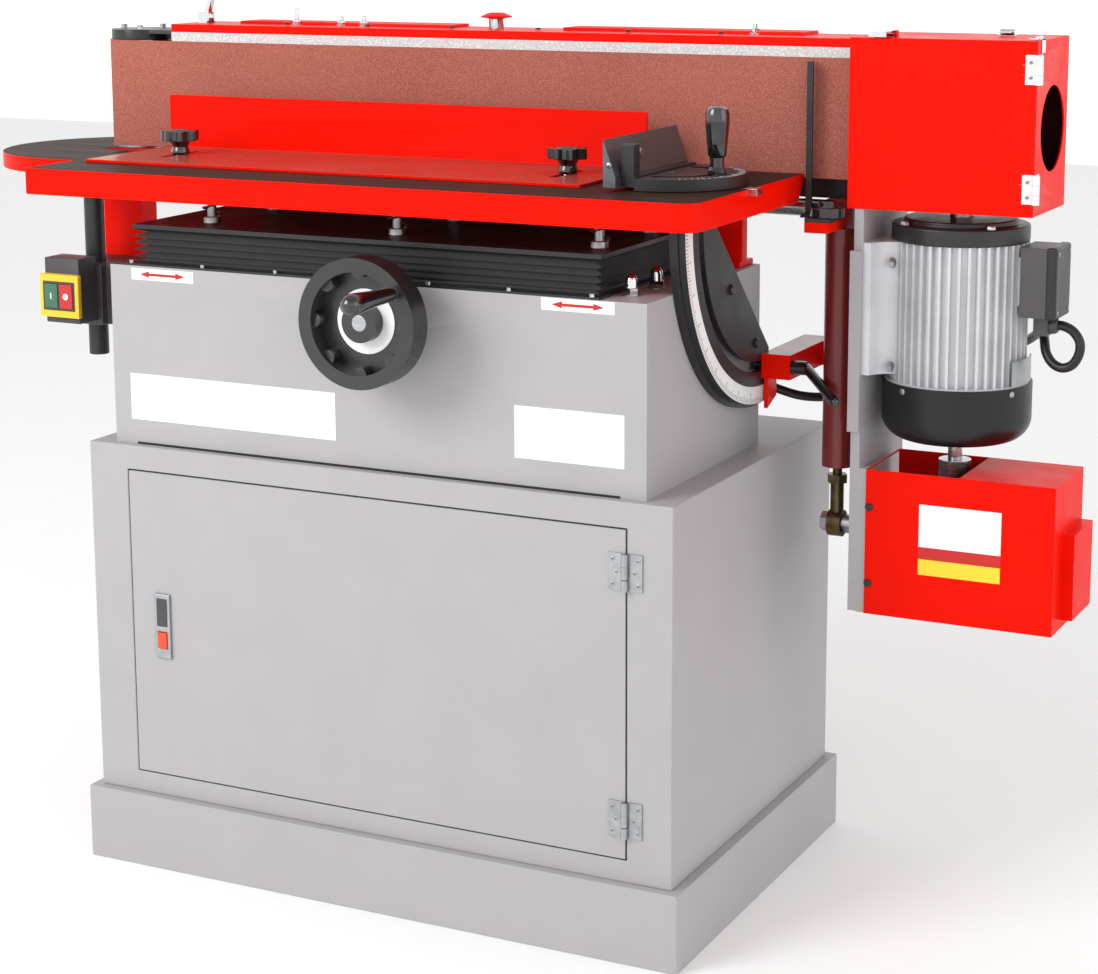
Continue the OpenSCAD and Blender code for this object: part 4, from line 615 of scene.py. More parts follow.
@dataclass
class SubAssembly:
    """A group of pieces that is built and dressed together."""

    frame: dict
    edge: float = 1.0
    made: list[bpy.types.Object] = field(default_factory=list)

    def body_of(self, node: str) -> str:
        """Returns the body that a CAD node belongs to."""
        bodies = self.frame["record"]["behaviour"]["bodies"]
        return next(body for body, nodes in bodies.items() if node in nodes)

    def keep(self, piece: bpy.types.Object, body: str, slot: str) -> bpy.types.Object:
        """Lets a piece ride on a body and notes it."""
        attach(piece, body)
        self.made.append(piece)
        LOG.info("%s rides on %s", piece.name, body)
        return piece

    def add(
        self, name: str, shape: Shape, body: str, edge: float = 0.4, replaces: Sequence[str] = ()
    ) -> bpy.types.Object:
        """Places a modelled shape on a body, in place of CAD nodes where it replaces any."""
        slot = shape.finishes[0].slot
        piece = self.keep(shape.finish_mesh(name, edge), body, slot)
        if replaces:
            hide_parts(*replaces)
        return piece

    def trace(
        self, node: str, name: str, finish: Finish, edge: float, zones: Sequence[Zone] = ()
    ) -> bpy.types.Object:
        """Returns a piece traced from a CAD node, with rounded edges and its finishes.

        Args:
            node: The CAD node that the piece replaces.
            name: Name of the piece.
            finish: The finish of the whole piece.
            edge: Width of the edge rounding in millimetres.
            zones: Tests on a face's centre in millimetres and its normal, each with the finish it takes.

        Returns:
            The piece, riding on nothing yet.
        """
        bm = flat_faces(self.frame["nodes"][node].data)
        mesh = bpy.data.meshes.new(name)
        mesh.materials.append(finish.material())
        for _, zone_finish in zones:
            mesh.materials.append(zone_finish.material())
        for face in bm.faces:
            face.material_index = 0
            for number, (test, _) in enumerate(zones, start=1):
                if test(face.calc_center_median() * 1000.0, face.normal):
                    face.material_index = number
        bm.to_mesh(mesh)
        bm.free()
        piece = place_mesh(name, mesh, edge, SMOOTH_DEG)
        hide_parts(node)
        return piece

    def soften(
        self, node: str, name: str, finish: Finish, edge: Optional[float] = None, zones: Sequence[Zone] = ()
    ) -> bpy.types.Object:
        """Shows a CAD node with rounded edges and its finishes, on the node's own body."""
        piece = self.trace(node, name, finish, self.edge if edge is None else edge, zones)
        return self.keep(piece, self.body_of(node), finish.slot)

    def paint(self, node: str, finish: Finish) -> None:
        """Gives a carried-over CAD node its finish."""
        data = self.frame["nodes"][node].data
        data.materials.clear()
        data.materials.append(finish.material())

    def screws(
        self,
        name: str,
        places: Sequence[Point],
        axis: Axis,
        body: str,
        radius: float = 3.5,
        height: float = 2.0,
        finish: Finish = ZINC_PLATE,
        sides: int = 24,
        recess: bool = True,
    ) -> bpy.types.Object:
        """Adds a row of screw heads, each with a domed rim and a recess.

        Args:
            name: Name of the piece.
            places: Points on the surface, in millimetres.
            axis: The way the heads face.
            body: Body that they ride on.
            radius: Head radius in millimetres.
            height: Head height in millimetres.
            finish: Finish of the heads.
            sides: Facets of a head; six makes a hexagon.
            recess: Whether a dark hexagon recess is cut into the head.

        Returns:
            The piece with all heads.
        """
        shape = Shape()
        out = axis.vector
        profile = [
            (0.0, radius),
            (HEAD_SUNK + height * RIM_SHARE, radius),
            (HEAD_SUNK + height, radius * DOME_SHARE),
        ]
        for place in places:
            shape.lathe(Vector(place) - out * HEAD_SUNK, out, profile, finish, sides)
            if recess:
                start = Vector(place) + out * (height - RECESS_DEPTH)
                shape.rod(start, out, RECESS_T, radius * RECESS_SHARE, BLACK_FILM, HEXAGON)
        return self.add(name, shape, body, 0.0)


@dataclass
class Studio:
    """Camera at the photograph's angle, soft light and a pale floor."""

    eye: tuple[float, float, float] = (1527.224, -2791.804, 1268.414)
    yaw: float = 0.465369
    pitch: float = 0.183614
    roll: float = -0.004581
    focal_px: float = 2429.727
    centre_row_px: float = 355.0
    sensor: float = 36.0
    sight_m: float = 60.0
    zenith: float = 0.5
    sky_span: tuple[float, float] = (0.25, 0.8)
    sky_strength: float = 1.3
    middle: tuple[float, float, float] = (0.0, 0.0, 700.0)
    lamps: tuple[tuple[str, Point, float, float], ...] = (
        ("key_lamp", (-1600.0, -3000.0, 2600.0), 1800.0, 76.0),
        ("side_fill", (3200.0, -600.0, 1700.0), 1800.0, 10.0),
    )
    floor_reach: float = 9000.0
    floor_t: float = 20.0

    def camera(self) -> None:
        """Adds the camera that the photograph was solved for."""
        data = bpy.data.cameras.new("photo_camera")
        data.sensor_width = self.sensor
        data.lens = self.focal_px * self.sensor / PHOTO_SIZE[0]
        data.shift_y = (self.centre_row_px - PHOTO_SIZE[1] / 2) / PHOTO_SIZE[0]
        data.clip_end = self.sight_m
        piece = bpy.data.objects.new("photo_camera", data)
        bpy.context.scene.collection.objects.link(piece)
        level = math.cos(self.pitch)
        forward = Vector((-math.sin(self.yaw) * level, math.cos(self.yaw) * level, -math.sin(self.pitch)))
        right = Vector((math.cos(self.yaw), math.sin(self.yaw), 0.0))
        up = right.cross(forward)
        turned_right = right * math.cos(self.roll) + up * math.sin(self.roll)
        turned_up = up * math.cos(self.roll) - right * math.sin(self.roll)
        rotation = Matrix((turned_right, turned_up, -forward)).transposed()
        piece.matrix_world = Matrix.Translation(metres(self.eye)) @ rotation.to_4x4()
        bpy.context.scene.camera = piece

    def lamp(self, name: str, place: Point, size: float, power: float) -> None:
        """Adds one square soft lamp that looks at the machine; place and size are in millimetres."""
        data = bpy.data.lights.new(name, "AREA")
        data.size = size / 1000.0
        data.energy = power
        lamp = bpy.data.objects.new(name, data)
        bpy.context.scene.collection.objects.link(lamp)
        aim = metres(self.middle) - metres(place)
        lamp.matrix_world = Matrix.Translation(metres(place)) @ aim.to_track_quat("-Z", "Y").to_matrix().to_4x4()

    def light(self) -> None:
        """Adds a white surround that darkens overhead, a key lamp and a fill."""
        world = bpy.data.worlds.new("white studio")
        world.use_nodes = True
        tree = world.node_tree
        background = tree.nodes["Background"]
        direction = add_node(tree, "ShaderNodeTexCoord")
        height = add_node(tree, "ShaderNodeSeparateXYZ", inputs={"Vector": direction.outputs["Generated"]})
        sky = add_node(tree, "ShaderNodeValToRGB", inputs={"Fac": height.outputs["Z"]})
        for stop, position, grey in zip(sky.color_ramp.elements, self.sky_span, (1.0, self.zenith)):
            stop.position = position
            stop.color = (grey, grey, grey, 1.0)
        tree.links.new(sky.outputs["Color"], background.inputs["Color"])
        background.inputs["Strength"].default_value = self.sky_strength
        bpy.context.scene.world = world
        for name, place, size, power in self.lamps:
            self.lamp(name, place, size, power)
        bpy.context.scene.view_settings.view_transform = "Standard"

    def floor(self) -> None:
        """Adds the pale floor."""
        shape = Shape()
        reach = self.floor_reach
        shape.box((-reach, -reach, -self.floor_t), (reach, reach, 0.0), FLOOR_WHITE)
        shape.finish_mesh("studio_floor", 0.0)

    def build(self) -> None:
        """Sets the whole studio."""
        self.camera()
        self.light()
        self.floor()


@dataclass
class MotorLead(SubAssembly):
    """The lead from the terminal box to the upper box, in two stretches."""

    radius: float = 6.0
    sides: int = 14
    steps: int = 6
    loop_route: tuple[Point, ...] = (
        (765, 109, 757), (775, 109, 757.5), (788, 107, 752), (797, 105, 740), (797, 104, 725), (789, 104, 711),
        (776, 105, 706), (763, 108, 711), (754, 113, 722), (749, 122, 735), (744, 135, 741), (734, 154, 740),
        (722, 174, 731), (706, 192, 720), (676, 206, 706), (632, 212, 692), (596, 210, 676), (566, 196, 656),
        (547, 196, 656),
    )
    span_route: tuple[Point, ...] = (
        (535, 196, 656), (518, 196, 656), (494, 190, 643), (472, 179, 634), (446, 165, 630), (420, 151, 632),
        (396, 139, 640), (372, 128, 651), (352, 118, 660), (346, 110, 662), (346, 100, 662),
    )

    def smooth_path(self, route: Sequence[Point]) -> list[Vector]:
        """Returns points in metres on a smooth curve through a route's points."""
        points = [metres(p) for p in route]
        padded = [points[0], *points, points[-1]]
        path: list[Vector] = []
        for before, start, end, after in zip(padded, padded[1:], padded[2:], padded[3:]):
            for step in range(self.steps):
                t = step / self.steps
                pull = (end - before) * 0.5
                push = (after - start) * 0.5
                path.append(
                    start * (2 * t**3 - 3 * t**2 + 1)
                    + pull * (t**3 - 2 * t**2 + t)
                    + end * (3 * t**2 - 2 * t**3)
                    + push * (t**3 - t**2)
                )
        return path + [points[-1]]

    def tube(self, name: str, path: Sequence[Vector]) -> bpy.types.Object:
        """Returns a round tube of the lead's sheath along a path."""
        shape = Shape()
        rings: list[list[bmesh.types.BMVert]] = []
        side = Axis.Y.vector
        for i, centre in enumerate(path):
            heading = (path[min(i + 1, len(path) - 1)] - path[max(i - 1, 0)]).normalized()
            side = (side - heading * side.dot(heading)).normalized()
            rings.append(shape.ring(centre, side, heading.cross(side), self.radius, self.sides))
        shape.skin(rings, LEAD_RUBBER)
        return shape.finish_mesh(name, 0.0)

    def stretch_of_lead(self, name: str, node: str, route: Sequence[Point]) -> bpy.types.Object:
        path = self.smooth_path(route)
        piece = self.tube(name, path)
        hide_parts(node)
        return piece

    def build(self) -> None:
        """Builds the loop on the head and the span that stays where it is built."""
        loop = self.stretch_of_lead("motor_lead_loop", "lead_loop", self.loop_route)
        self.keep(loop, "head", LEAD_RUBBER.slot)
        span = self.stretch_of_lead("motor_lead_span", "lead_span", self.span_route)
        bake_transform(span)


@dataclass
class Cabinet(SubAssembly):
    """Plinth, cabinet, door and upper box of folded sheet."""

    edge: float = 1.6
    boss_proud: float = 9.0
    pin_inset: float = 4.5
    leaf_t: float = 2.0
    leaf_h: float = 45.7
    leaf_rows: tuple[tuple[float, float], ...] = ((7.5, 17.0), (22.8, 12.0), (38.1, 17.0))
    leaf_screw: tuple[float, float] = (2.6, 0.8)
    arrow_size: tuple[float, float] = (96.0, 15.0)
    arrow_places: tuple[Point, ...] = ((-303.5, 800.5), (290.5, 802.5))
    arrow_head: tuple[float, float] = (14.0, 4.2)
    arrow_shaft: float = 1.7
    arrow_share: float = 0.36
    arrow_ink: tuple[float, float] = (0.3, 0.25)
    front_plates: tuple[tuple[str, Point, Point], ...] = (
        ("blank_type_plate", (-359.0, 608.0), (-47.0, 669.0)),
        ("blank_notice_sheet", (205.5, 611.4), (351.3, 676.0)),
    )
    # Size of the black film painted as shade in the gap under the box front.
    gap_shade_inset: float = 34.0
    gap_shade_h: float = 3.0
    gap_shade_proud: float = 0.3
    nut_places: tuple[tuple[float, float], ...] = ((337.0, -203.0), (341.0, -138.0))
    nut_sunk: float = 0.3
    nut_seat: float = 1.5
    nut_washer: tuple[float, float] = (11.0, 1.8)
    nut_hexagon: tuple[float, float] = (9.4, 8.0)
    nut_dome: Profile = ((1.5, 7.4), (16.0, 7.4), (20.0, 6.6), (23.0, 4.6), (24.6, 1.6))
    finger_inset: tuple[float, float, float] = (4.0, 44.0, 6.0)
    finger_t: tuple[float, float] = (1.0, 0.5)

    def box_front(self) -> float:
        """Returns where the box's front lies, behind the boss of the handwheel shaft."""
        return box_mm("upper_box")[0].y + self.boss_proud

    def hinge_screws(self) -> None:
        """Adds the screws of both hinges, on the door and on the cabinet."""
        low, high = box_mm("door_hinges")
        pin_x, face_y = low.x + self.pin_inset, box_mm("cabinet")[0].y - self.leaf_t
        bases = (low.z, high.z - self.leaf_h)
        for side, name, body in ((1, "hinge_screws_on_cabinet", "base"), (-1, "hinge_screws_on_door", "door")):
            places = [(pin_x + side * reach, face_y, base + rise) for base in bases for rise, reach in self.leaf_rows]
            self.screws(name, places, Axis.FRONT, body, *self.leaf_screw)

    def arrow_plates(self) -> None:
        """Adds the two white plates with a plain red double arrow."""
        front = self.box_front()
        wide, tall = self.arrow_size
        head, half = self.arrow_head
        shaft, tip = self.arrow_shaft, wide * self.arrow_share
        neck = tip - head
        right = [(neck, -shaft), (neck, -half), (tip, 0.0), (neck, half), (neck, shaft)]
        outline = right + [(-px, -pz) for px, pz in right]
        start, thick = self.arrow_ink
        for number, (x, z) in enumerate(self.arrow_places, start=1):
            shape = Shape()
            shape.film((x - wide / 2, z - tall / 2), (x + wide / 2, z + tall / 2), front, WHITE_FILM)
            points = [(x + px, front - start, z + pz) for px, pz in outline]
            shape.prism(points, Axis.FRONT.vector * thick, RED_FILM)
            self.add(f"lift_arrow_plate_{number}", shape, "base", 0.0)

    def blank_plates(self) -> None:
        """Adds the bare plates on the box front."""
        for name, low, high in self.front_plates:
            shape = Shape()
            shape.film(low, high, self.box_front(), WHITE_FILM)
            self.add(name, shape, "base", 0.0)

    def box_gap_shade(self) -> None:
        """Adds a black film as painted shade in the gap under the box front, between its two feet."""
        front, foot = self.box_front(), box_mm("cabinet")[1].z
        left, right = (corner.x for corner in box_mm("upper_box"))
        shape = Shape()
        shape.box(
            (left + self.gap_shade_inset, front - self.gap_shade_proud, foot),
            (right - self.gap_shade_inset, front + FILM_SUNK, foot + self.gap_shade_h),
            BLACK_FILM,
        )
        self.add("box_gap_shade", shape, "base", 0.0)

    def acorn_nuts(self) -> None:
        """Adds the two domed nuts on the right end of the box top."""
        top = box_mm("upper_box")[1].z
        up, seat = Axis.Z.vector, top + self.nut_seat
        washer, thick = self.nut_washer
        hexagon, tall = self.nut_hexagon
        shape = Shape()
        for x, y in self.nut_places:
            shape.rod((x, y, top - self.nut_sunk), up, thick, washer, ZINC_PLATE, 32)
            shape.rod((x, y, seat), up, tall, hexagon, CHROME, HEXAGON, 0.8)
            shape.lathe((x, y, seat), up, self.nut_dome, CHROME, 32)
        self.add("box_top_acorn_nuts", shape, "base", 0.0)

    def latch(self) -> None:
        """Dresses the push latch and adds its raised frame."""
        low, high = box_mm("latch_case")
        self.soften("latch_case", "latch_case", ZINC_PLATE, 1.2)
        self.soften("latch_button", "latch_button", ORANGE_ABS, 0.8)
        side, bottom, top = self.finger_inset
        proud, sunk = self.finger_t
        shape = Shape()
        shape.box(
            (low.x + side, low.y - proud, low.z + bottom), (high.x - side, low.y + sunk, high.z - top), DARK_ABS
        )
        self.add("latch_finger_plate", shape, "door", 1.0)

    def build(self) -> None:
        """Builds and dresses the base."""
        face = box_mm("cabinet")[0].y
        self.soften("plinth", "plinth_sheet", POWDER_COAT)
        self.soften("cabinet", "cabinet_sheet", POWDER_COAT)
        self.soften("upper_box", "upper_box_sheet", POWDER_COAT)
        on_leaf: Zone = (lambda c, n: c.y < face - FACE_SPARE, ZINC_PLATE)
        self.soften("cabinet_door", "cabinet_door_sheet", POWDER_COAT, 1.0, [on_leaf])
        self.soften("door_hinges", "door_hinge_leaves", ZINC_PLATE, 0.4)
        self.hinge_screws()
        self.latch()
        self.arrow_plates()
        self.blank_plates()
        self.box_gap_shade()
        self.acorn_nuts()


@dataclass
class TableLift(SubAssembly):
    """Handwheel, bellows, lift plate and the gear inside the box."""

    hub_depth: float = 26.0
    ring_profile: Profile = ((0.0, 40.0), (1.2, 40.0), (1.2, 20.0), (0.6, 20.0))
    hub_profile: Profile = (
        (0.0, 24.0), (5.0, 23.6), (6.0, 22.4), (6.0, 16.0), (4.6, 15.0), (4.6, 11.0), (6.2, 10.0), (6.2, 8.0),
        (4.0, 7.4),
    )
    nut_set: float = 4.0
    nut_size: tuple[float, float] = (5.0, 5.0)
    neck_size: tuple[float, float] = (42.0, 5.0)
    grip_profile: Profile = (
        (0.0, 8.0), (3.0, 9.6), (12.0, 9.2), (50.0, 10.6), (76.0, 12.6), (88.0, 13.2), (96.0, 11.8), (101.0, 7.8),
        (103.0, 2.0),
    )
    strip_top: float = 814.2
    plate_top: float = 864.2

    def handwheel(self) -> None:
        """Dresses the wheel and adds its white ring, hub and nut."""
        centre = middle_of("handwheel")
        face = box_mm("handwheel")[0].y + self.hub_depth
        self.soften("handwheel", "handwheel", WHEEL_PLASTIC, 3.0)
        self.soften("handwheel_shaft", "handwheel_shaft", TURNED_STEEL, 0.6)
        outward = Axis.FRONT.vector
        shape = Shape()
        shape.lathe((centre.x, face, centre.z), outward, self.ring_profile, WHITE_FILM, 64)
        shape.lathe((centre.x, face, centre.z), outward, self.hub_profile, HUB_CASTING, 48)
        start = (centre.x, face - self.nut_set, centre.z)
        shape.rod(start, outward, *self.nut_size, ZINC_PLATE, HEXAGON, 1.0)
        self.add("handwheel_hub_trim", shape, "handwheel", 0.4)

    def grip(self) -> None:
        """Builds the waisted crank grip with its steel neck."""
        centre, neck_end = middle_of("crank_grip"), box_mm("crank_grip")[1].y
        neck, radius = self.neck_size
        outward = Axis.FRONT.vector
        shape = Shape()
        shape.rod((centre.x, neck_end, centre.z), outward, neck, radius, ZINC_PLATE, 24)
        shape.lathe((centre.x, neck_end - neck, centre.z), outward, self.grip_profile, PHENOLIC, 32)
        self.add("crank_grip", shape, "crank_grip", 0.0, ["crank_grip"])

    def bellows(self) -> None:
        """Traces the pleated bellows between the box and the table, where they stay as built."""
        piece = self.trace("bellows", "pleated_bellows", BELLOWS_RUBBER, 0.0)
        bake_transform(piece)
        self.made.append(piece)

    def build(self) -> None:
        """Builds and dresses the lift."""
        self.handwheel()
        self.grip()
        self.bellows()
        bolts: Zone = (lambda c, n: c.z > self.strip_top, TURNED_STEEL)
        self.soften("bellows_frame", "bellows_clamp_strip", SATIN_BLACK, 0.5, [bolts])
        studs: Zone = (lambda c, n: c.z > self.plate_top, ZINC_PLATE)
        self.soften("lift_plate", "lift_plate", SATIN_BLACK, 0.6, [studs])
        self.paint("levelling_springs", TURNED_STEEL)
        self.paint("lift_bushes", ZINC_PLATE)
        self.paint("lift_screw", TURNED_STEEL)


@dataclass
class WorkTable(SubAssembly):
    """Main table with fence, star knobs and mitre gauge."""

    lobes: int = 7
    lobe_steps: int = 12
    lobe_reach: tuple[float, float] = (22.5, 3.5)
    lobe_floor: float = -0.75
    lobe_span: tuple[float, float] = (18.0, 14.0)
    knob_h: float = 34.0
    stem_size: tuple[float, float] = (30.0, 5.0)
    collar: Profile = ((0.0, 11.0), (1.5, 12.5), (4.0, 12.5), (10.0, 10.5), (15.0, 12.5), (18.0, 15.5))
    washer: Profile = ((-4.0, 8.0), (-1.0, 8.0), (0.2, 6.4))
    crown: Profile = ((-2.5, 15.0), (-0.9, 14.0), (0.0, 10.0))
    face_t: float = 16.0
    face_foot: float = 941.0
    block_top: float = 970.0
    block_low: float = 953.5
    face_rib_y: tuple[float, float] = (15.0, 33.0)
    face_rib_x: tuple[float, float] = (-0.5, 17.0)
    face_rib_z: tuple[float, float] = (-12.0, -6.0)
    face_bolt: tuple[float, float] = (62.0, 2.0)
    end_screw_x: float = 8.0
    gauge_pivot: tuple[float, float] = (352.0, 951.0)
    protractor_ticks: int = 25
    protractor_arc: float = 120.0
    protractor_radius: float = 89.0
    tick_size: tuple[float, float, float] = (7.0, 0.7, 0.2)
    long_tick: float = 1.5
    grip_profile: Profile = (
        (0.0, 11.5), (4.0, 11.5), (8.0, 8.6), (19.0, 8.6), (22.0, 11.0), (36.0, 12.6), (60.0, 14.6), (71.0, 14.9),
        (77.0, 12.8), (80.0, 8.0),
    )
    slot_depth: float = 9.5
    slot_y: float = -120.0
    slot_half: float = 10.0
    flat_reach: float = 40.0
    rib_low: tuple[float, float, float] = (-482.0, 8.0, 863.5)
    rib_high: tuple[float, float, float] = (318.0, 14.0, 907.0)

    def star_knob(self, node: str, name: str) -> None:
        """Builds a lobed clamping knob in place of its CAD node."""
        low, high = box_mm(node)
        centre, up = middle_of(node), Axis.Z.vector
        x, y, foot = centre.x, centre.y, high.z - self.knob_h
        below_top, stem = self.stem_size
        rise, tall = self.lobe_span
        shape = Shape()
        shape.rod((x, y, low.z), up, high.z - low.z - below_top, stem, ZINC_PLATE, 24)
        shape.lathe((x, y, foot), up, self.collar, PHENOLIC, 40)
        shape.lathe((x, y, foot), up, self.washer, CHROME, 32)
        mean, swing = self.lobe_reach
        count = self.lobes * self.lobe_steps
        outline: list[Point] = []
        for turn in (2 * math.pi * i / count for i in range(count)):
            reach = mean + swing * max(math.cos(self.lobes * turn), self.lobe_floor)
            outline.append((x + reach * math.cos(turn), y + reach * math.sin(turn), foot + rise))
        shape.prism(outline, up * tall, PHENOLIC)
        shape.lathe((x, y, high.z), up, self.crown, PHENOLIC, 40)
        self.add(name, shape, self.body_of(node), 1.4, [node])

    def face_trim(self, back: float) -> None:
        """Adds the rib, the bolt and the small screws behind the gauge's face."""
        low, high = box_mm("mitre_body")
        (x0, x1), (y0, y1), (z0, z1) = self.face_rib_x, self.face_rib_y, self.face_rib_z
        shape = Shape()
        shape.box((back + x0, low.y + y0, self.block_low + z0), (back + x1, low.y + y1, high.z + z1), CAST_BLACK)
        self.add("mitre_face_rib", shape, "mitre_body", 1.2)
        along, rise = self.face_bolt
        bolt = [(back, low.y + along, (self.block_low + high.z) / 2 + rise)]
        self.screws("mitre_face_bolt", bolt, Axis.X, "mitre_body", 6.5, 6.0, ZINC_PLATE, HEXAGON, False)
        end = [(low.x + self.end_screw_x, low.y, (low.z + high.z) / 2)]
        self.screws("mitre_end_screw", end, Axis.FRONT, "mitre_body", 3.4, 1.6)

    def protractor(self) -> None:
        """Adds the ticks on the gauge's half-round base."""
        x, z = self.gauge_pivot
        pivot = Vector((x, middle_of("mitre_bar").y, z))
        length, width, thick = self.tick_size
        radius = self.protractor_radius
        shape = Shape()
        for i in range(self.protractor_ticks):
            turn = math.radians(self.protractor_arc * (i / (self.protractor_ticks - 1) - 0.5))
            out = Vector((math.cos(turn), math.sin(turn), 0.0))
            side = Vector((-out.y, out.x, 0.0)) * width / 2
            start = pivot + out * (radius - length * (self.long_tick if i % 4 == 0 else 1.0))
            end = pivot + out * radius
            corners_of_tick = [start - side, end - side, end + side, start + side]
            shape.prism(corners_of_tick, Axis.Z.vector * thick, WHITE_FILM)
        self.add("protractor_ticks", shape, "mitre_body", 0.0)

    def mitre_gauge(self) -> None:
        """Dresses the gauge and adds its protractor ticks and grip."""
        back = box_mm("mitre_body")[0].x + self.face_t
        on_face: Zone = (lambda c, n: c.x < back + FACE_SPARE and c.z > self.face_foot, GREY_ANODISED)
        body = self.soften("mitre_body", "mitre_gauge_body", CAST_BLACK, 1.0, [on_face])
        for vertex in body.data.vertices:
            if vertex.co.x > (back - 1.0) / 1000.0 and vertex.co.z > self.block_top / 1000.0:
                vertex.co.z = self.block_low / 1000.0
        self.face_trim(back)
        self.soften("mitre_bar", "mitre_gauge_bar", TURNED_STEEL, 0.4)
        self.protractor()
        centre, foot = middle_of("mitre_grip"), box_mm("mitre_grip")[0].z
        grip = Shape()
        grip.lathe((centre.x, centre.y, foot), Axis.Z.vector, self.grip_profile, PHENOLIC, 40)
        self.add("mitre_gauge_grip", grip, "mitre_grip", 0.0, ["mitre_grip"])

    def build(self) -> None:
        """Builds and dresses the table."""
        top = box_mm("main_table")[1].z
        # The table top takes the dark iron, whose brown tint is painted reflection of the red parts.
        on_top: Zone = (lambda c, n: n.z > UPWARD and c.z > top - FACE_SPARE, GROUND_IRON)
        in_slot: Zone = (
            lambda c, n: top - self.slot_depth < c.z < top - FACE_SPARE and abs(c.y - self.slot_y) < self.slot_half,
            GROUND_IRON,
        )
        self.soften("main_table", "main_table", RED_ENAMEL, 1.2, [on_top, in_slot])
        # The fence's flat takes the red enamel with its painted reflection of the belt.
        on_flat: Zone = (lambda c, n: n.z > UPWARD and c.z < top + self.flat_reach, FENCE_REFLECTION_ENAMEL)
        self.soften("fence", "fence_angle", RED_ENAMEL, 0.8, [on_flat])
        # The rib under the table takes the red enamel darkened as painted shade.
        rib = Shape()
        rib.box(self.rib_low, self.rib_high, SHADED_RED_ENAMEL)
        self.add("table_rib", rib, "table", 1.0)
        self.star_knob("fence_knob_left", "left_fence_knob")
        self.star_knob("fence_knob_right", "right_fence_knob")
        self.mitre_gauge()


@dataclass
class EndTable(SubAssembly):
    """End table with its post, clamp and the switch on it."""

    plate_depth: float = 7.8
    surround_w: float = 3.5
    surround_fit: float = 0.3
    surround_t: float = 0.4
    symbol_size: float = 9.0
    stroke_half: float = 0.9
    stroke_t: tuple[float, float] = (0.25, 0.2)
    ring_w: float = 1.7
    ring_t: float = 0.45
    drum_axis: tuple[float, float] = (-581.8, 105.5)
    # Reach round the drum within which the cut's walls take the painted shade.
    cut_reach: float = 75.0

    def surround(self, plate_y: float) -> None:
        """Adds the dark frame round both buttons, open where they sink when pressed."""
        start_low, start_high = box_mm("start_button")
        stop_low, stop_high = box_mm("stop_button")
        wide, fit, thick = self.surround_w, self.surround_fit, self.surround_t
        left, right = start_low.x - wide, stop_high.x + wide
        low_z, high_z = start_low.z - fit, start_high.z + fit
        bars = [
            (left, start_low.z - wide, right, low_z),
            (left, high_z, right, start_high.z + wide),
            (left, low_z, start_low.x - fit, high_z),
            (start_high.x + fit, low_z, stop_low.x - fit, high_z),
            (stop_high.x + fit, low_z, right, high_z),
        ]
        shape = Shape()
        for x0, z0, x1, z1 in bars:
            shape.box((x0, plate_y - thick, z0), (x1, plate_y + thick, z1), DARK_ABS)
        self.add("button_surround", shape, "base", 0.2)

    def button_marks(self) -> None:
        """Adds the stroke on the start button and the ring on the stop button."""
        half = self.symbol_size / 2
        proud, sunk = self.stroke_t
        start, front = middle_of("start_button"), box_mm("start_button")[0].y
        stroke = Shape()
        stroke.box(
            (start.x - self.stroke_half, front - proud, start.z - half),
            (start.x + self.stroke_half, front + sunk, start.z + half),
            WHITE_FILM,
        )
        self.add("start_mark", stroke, "start_button", 0.0)
        stop, front = middle_of("stop_button"), box_mm("stop_button")[0].y
        inner = half - self.ring_w
        profile = [(0.0, half), (self.ring_t, half), (self.ring_t, inner), (sunk, inner)]
        ring = Shape()
        ring.lathe((stop.x, front + sunk, stop.z), Axis.FRONT.vector, profile, WHITE_FILM, 32)
        self.add("stop_mark", ring, "stop_button", 0.0)

    def switch(self) -> None:
        """Dresses the switch and marks its buttons."""
        plate_y = box_mm("switch_housing")[0].y
        on_plate: Zone = (lambda c, n: c.y < plate_y + self.plate_depth, YELLOW_ABS)
        self.soften("switch_housing", "switch_housing", DARK_ABS, 2.0, [on_plate])
        self.soften("start_button", "start_button", GREEN_ABS, 1.4)
        self.soften("stop_button", "stop_button", RED_ABS, 1.4)
        self.surround(plate_y)
        self.button_marks()

    def build(self) -> None:
        """Builds and dresses the end table."""
        top = box_mm("end_table")[1].z
        x, y = self.drum_axis
        # The end table's top takes the dark iron, whose brown tint is painted reflection of the red parts.
        on_top: Zone = (lambda c, n: n.z > UPWARD and c.z > top - FACE_SPARE, GROUND_IRON)
        # The walls of the cut round the drum take the dark iron as painted shade under the drum.
        cut: Zone = (lambda c, n: n.z < UPWARD and math.hypot(c.x - x, c.y - y) < self.cut_reach, GROUND_IRON)
        self.soften("end_table", "end_table", RED_ENAMEL, 1.2, [on_top, cut])
        self.soften("end_post", "end_table_post", SATIN_BLACK, 0.8)
        self.soften("end_bracket", "end_table_web", RED_ENAMEL, 1.2)
        self.soften("post_clamp", "post_clamp", DARK_ABS, 3.0)
        self.switch()


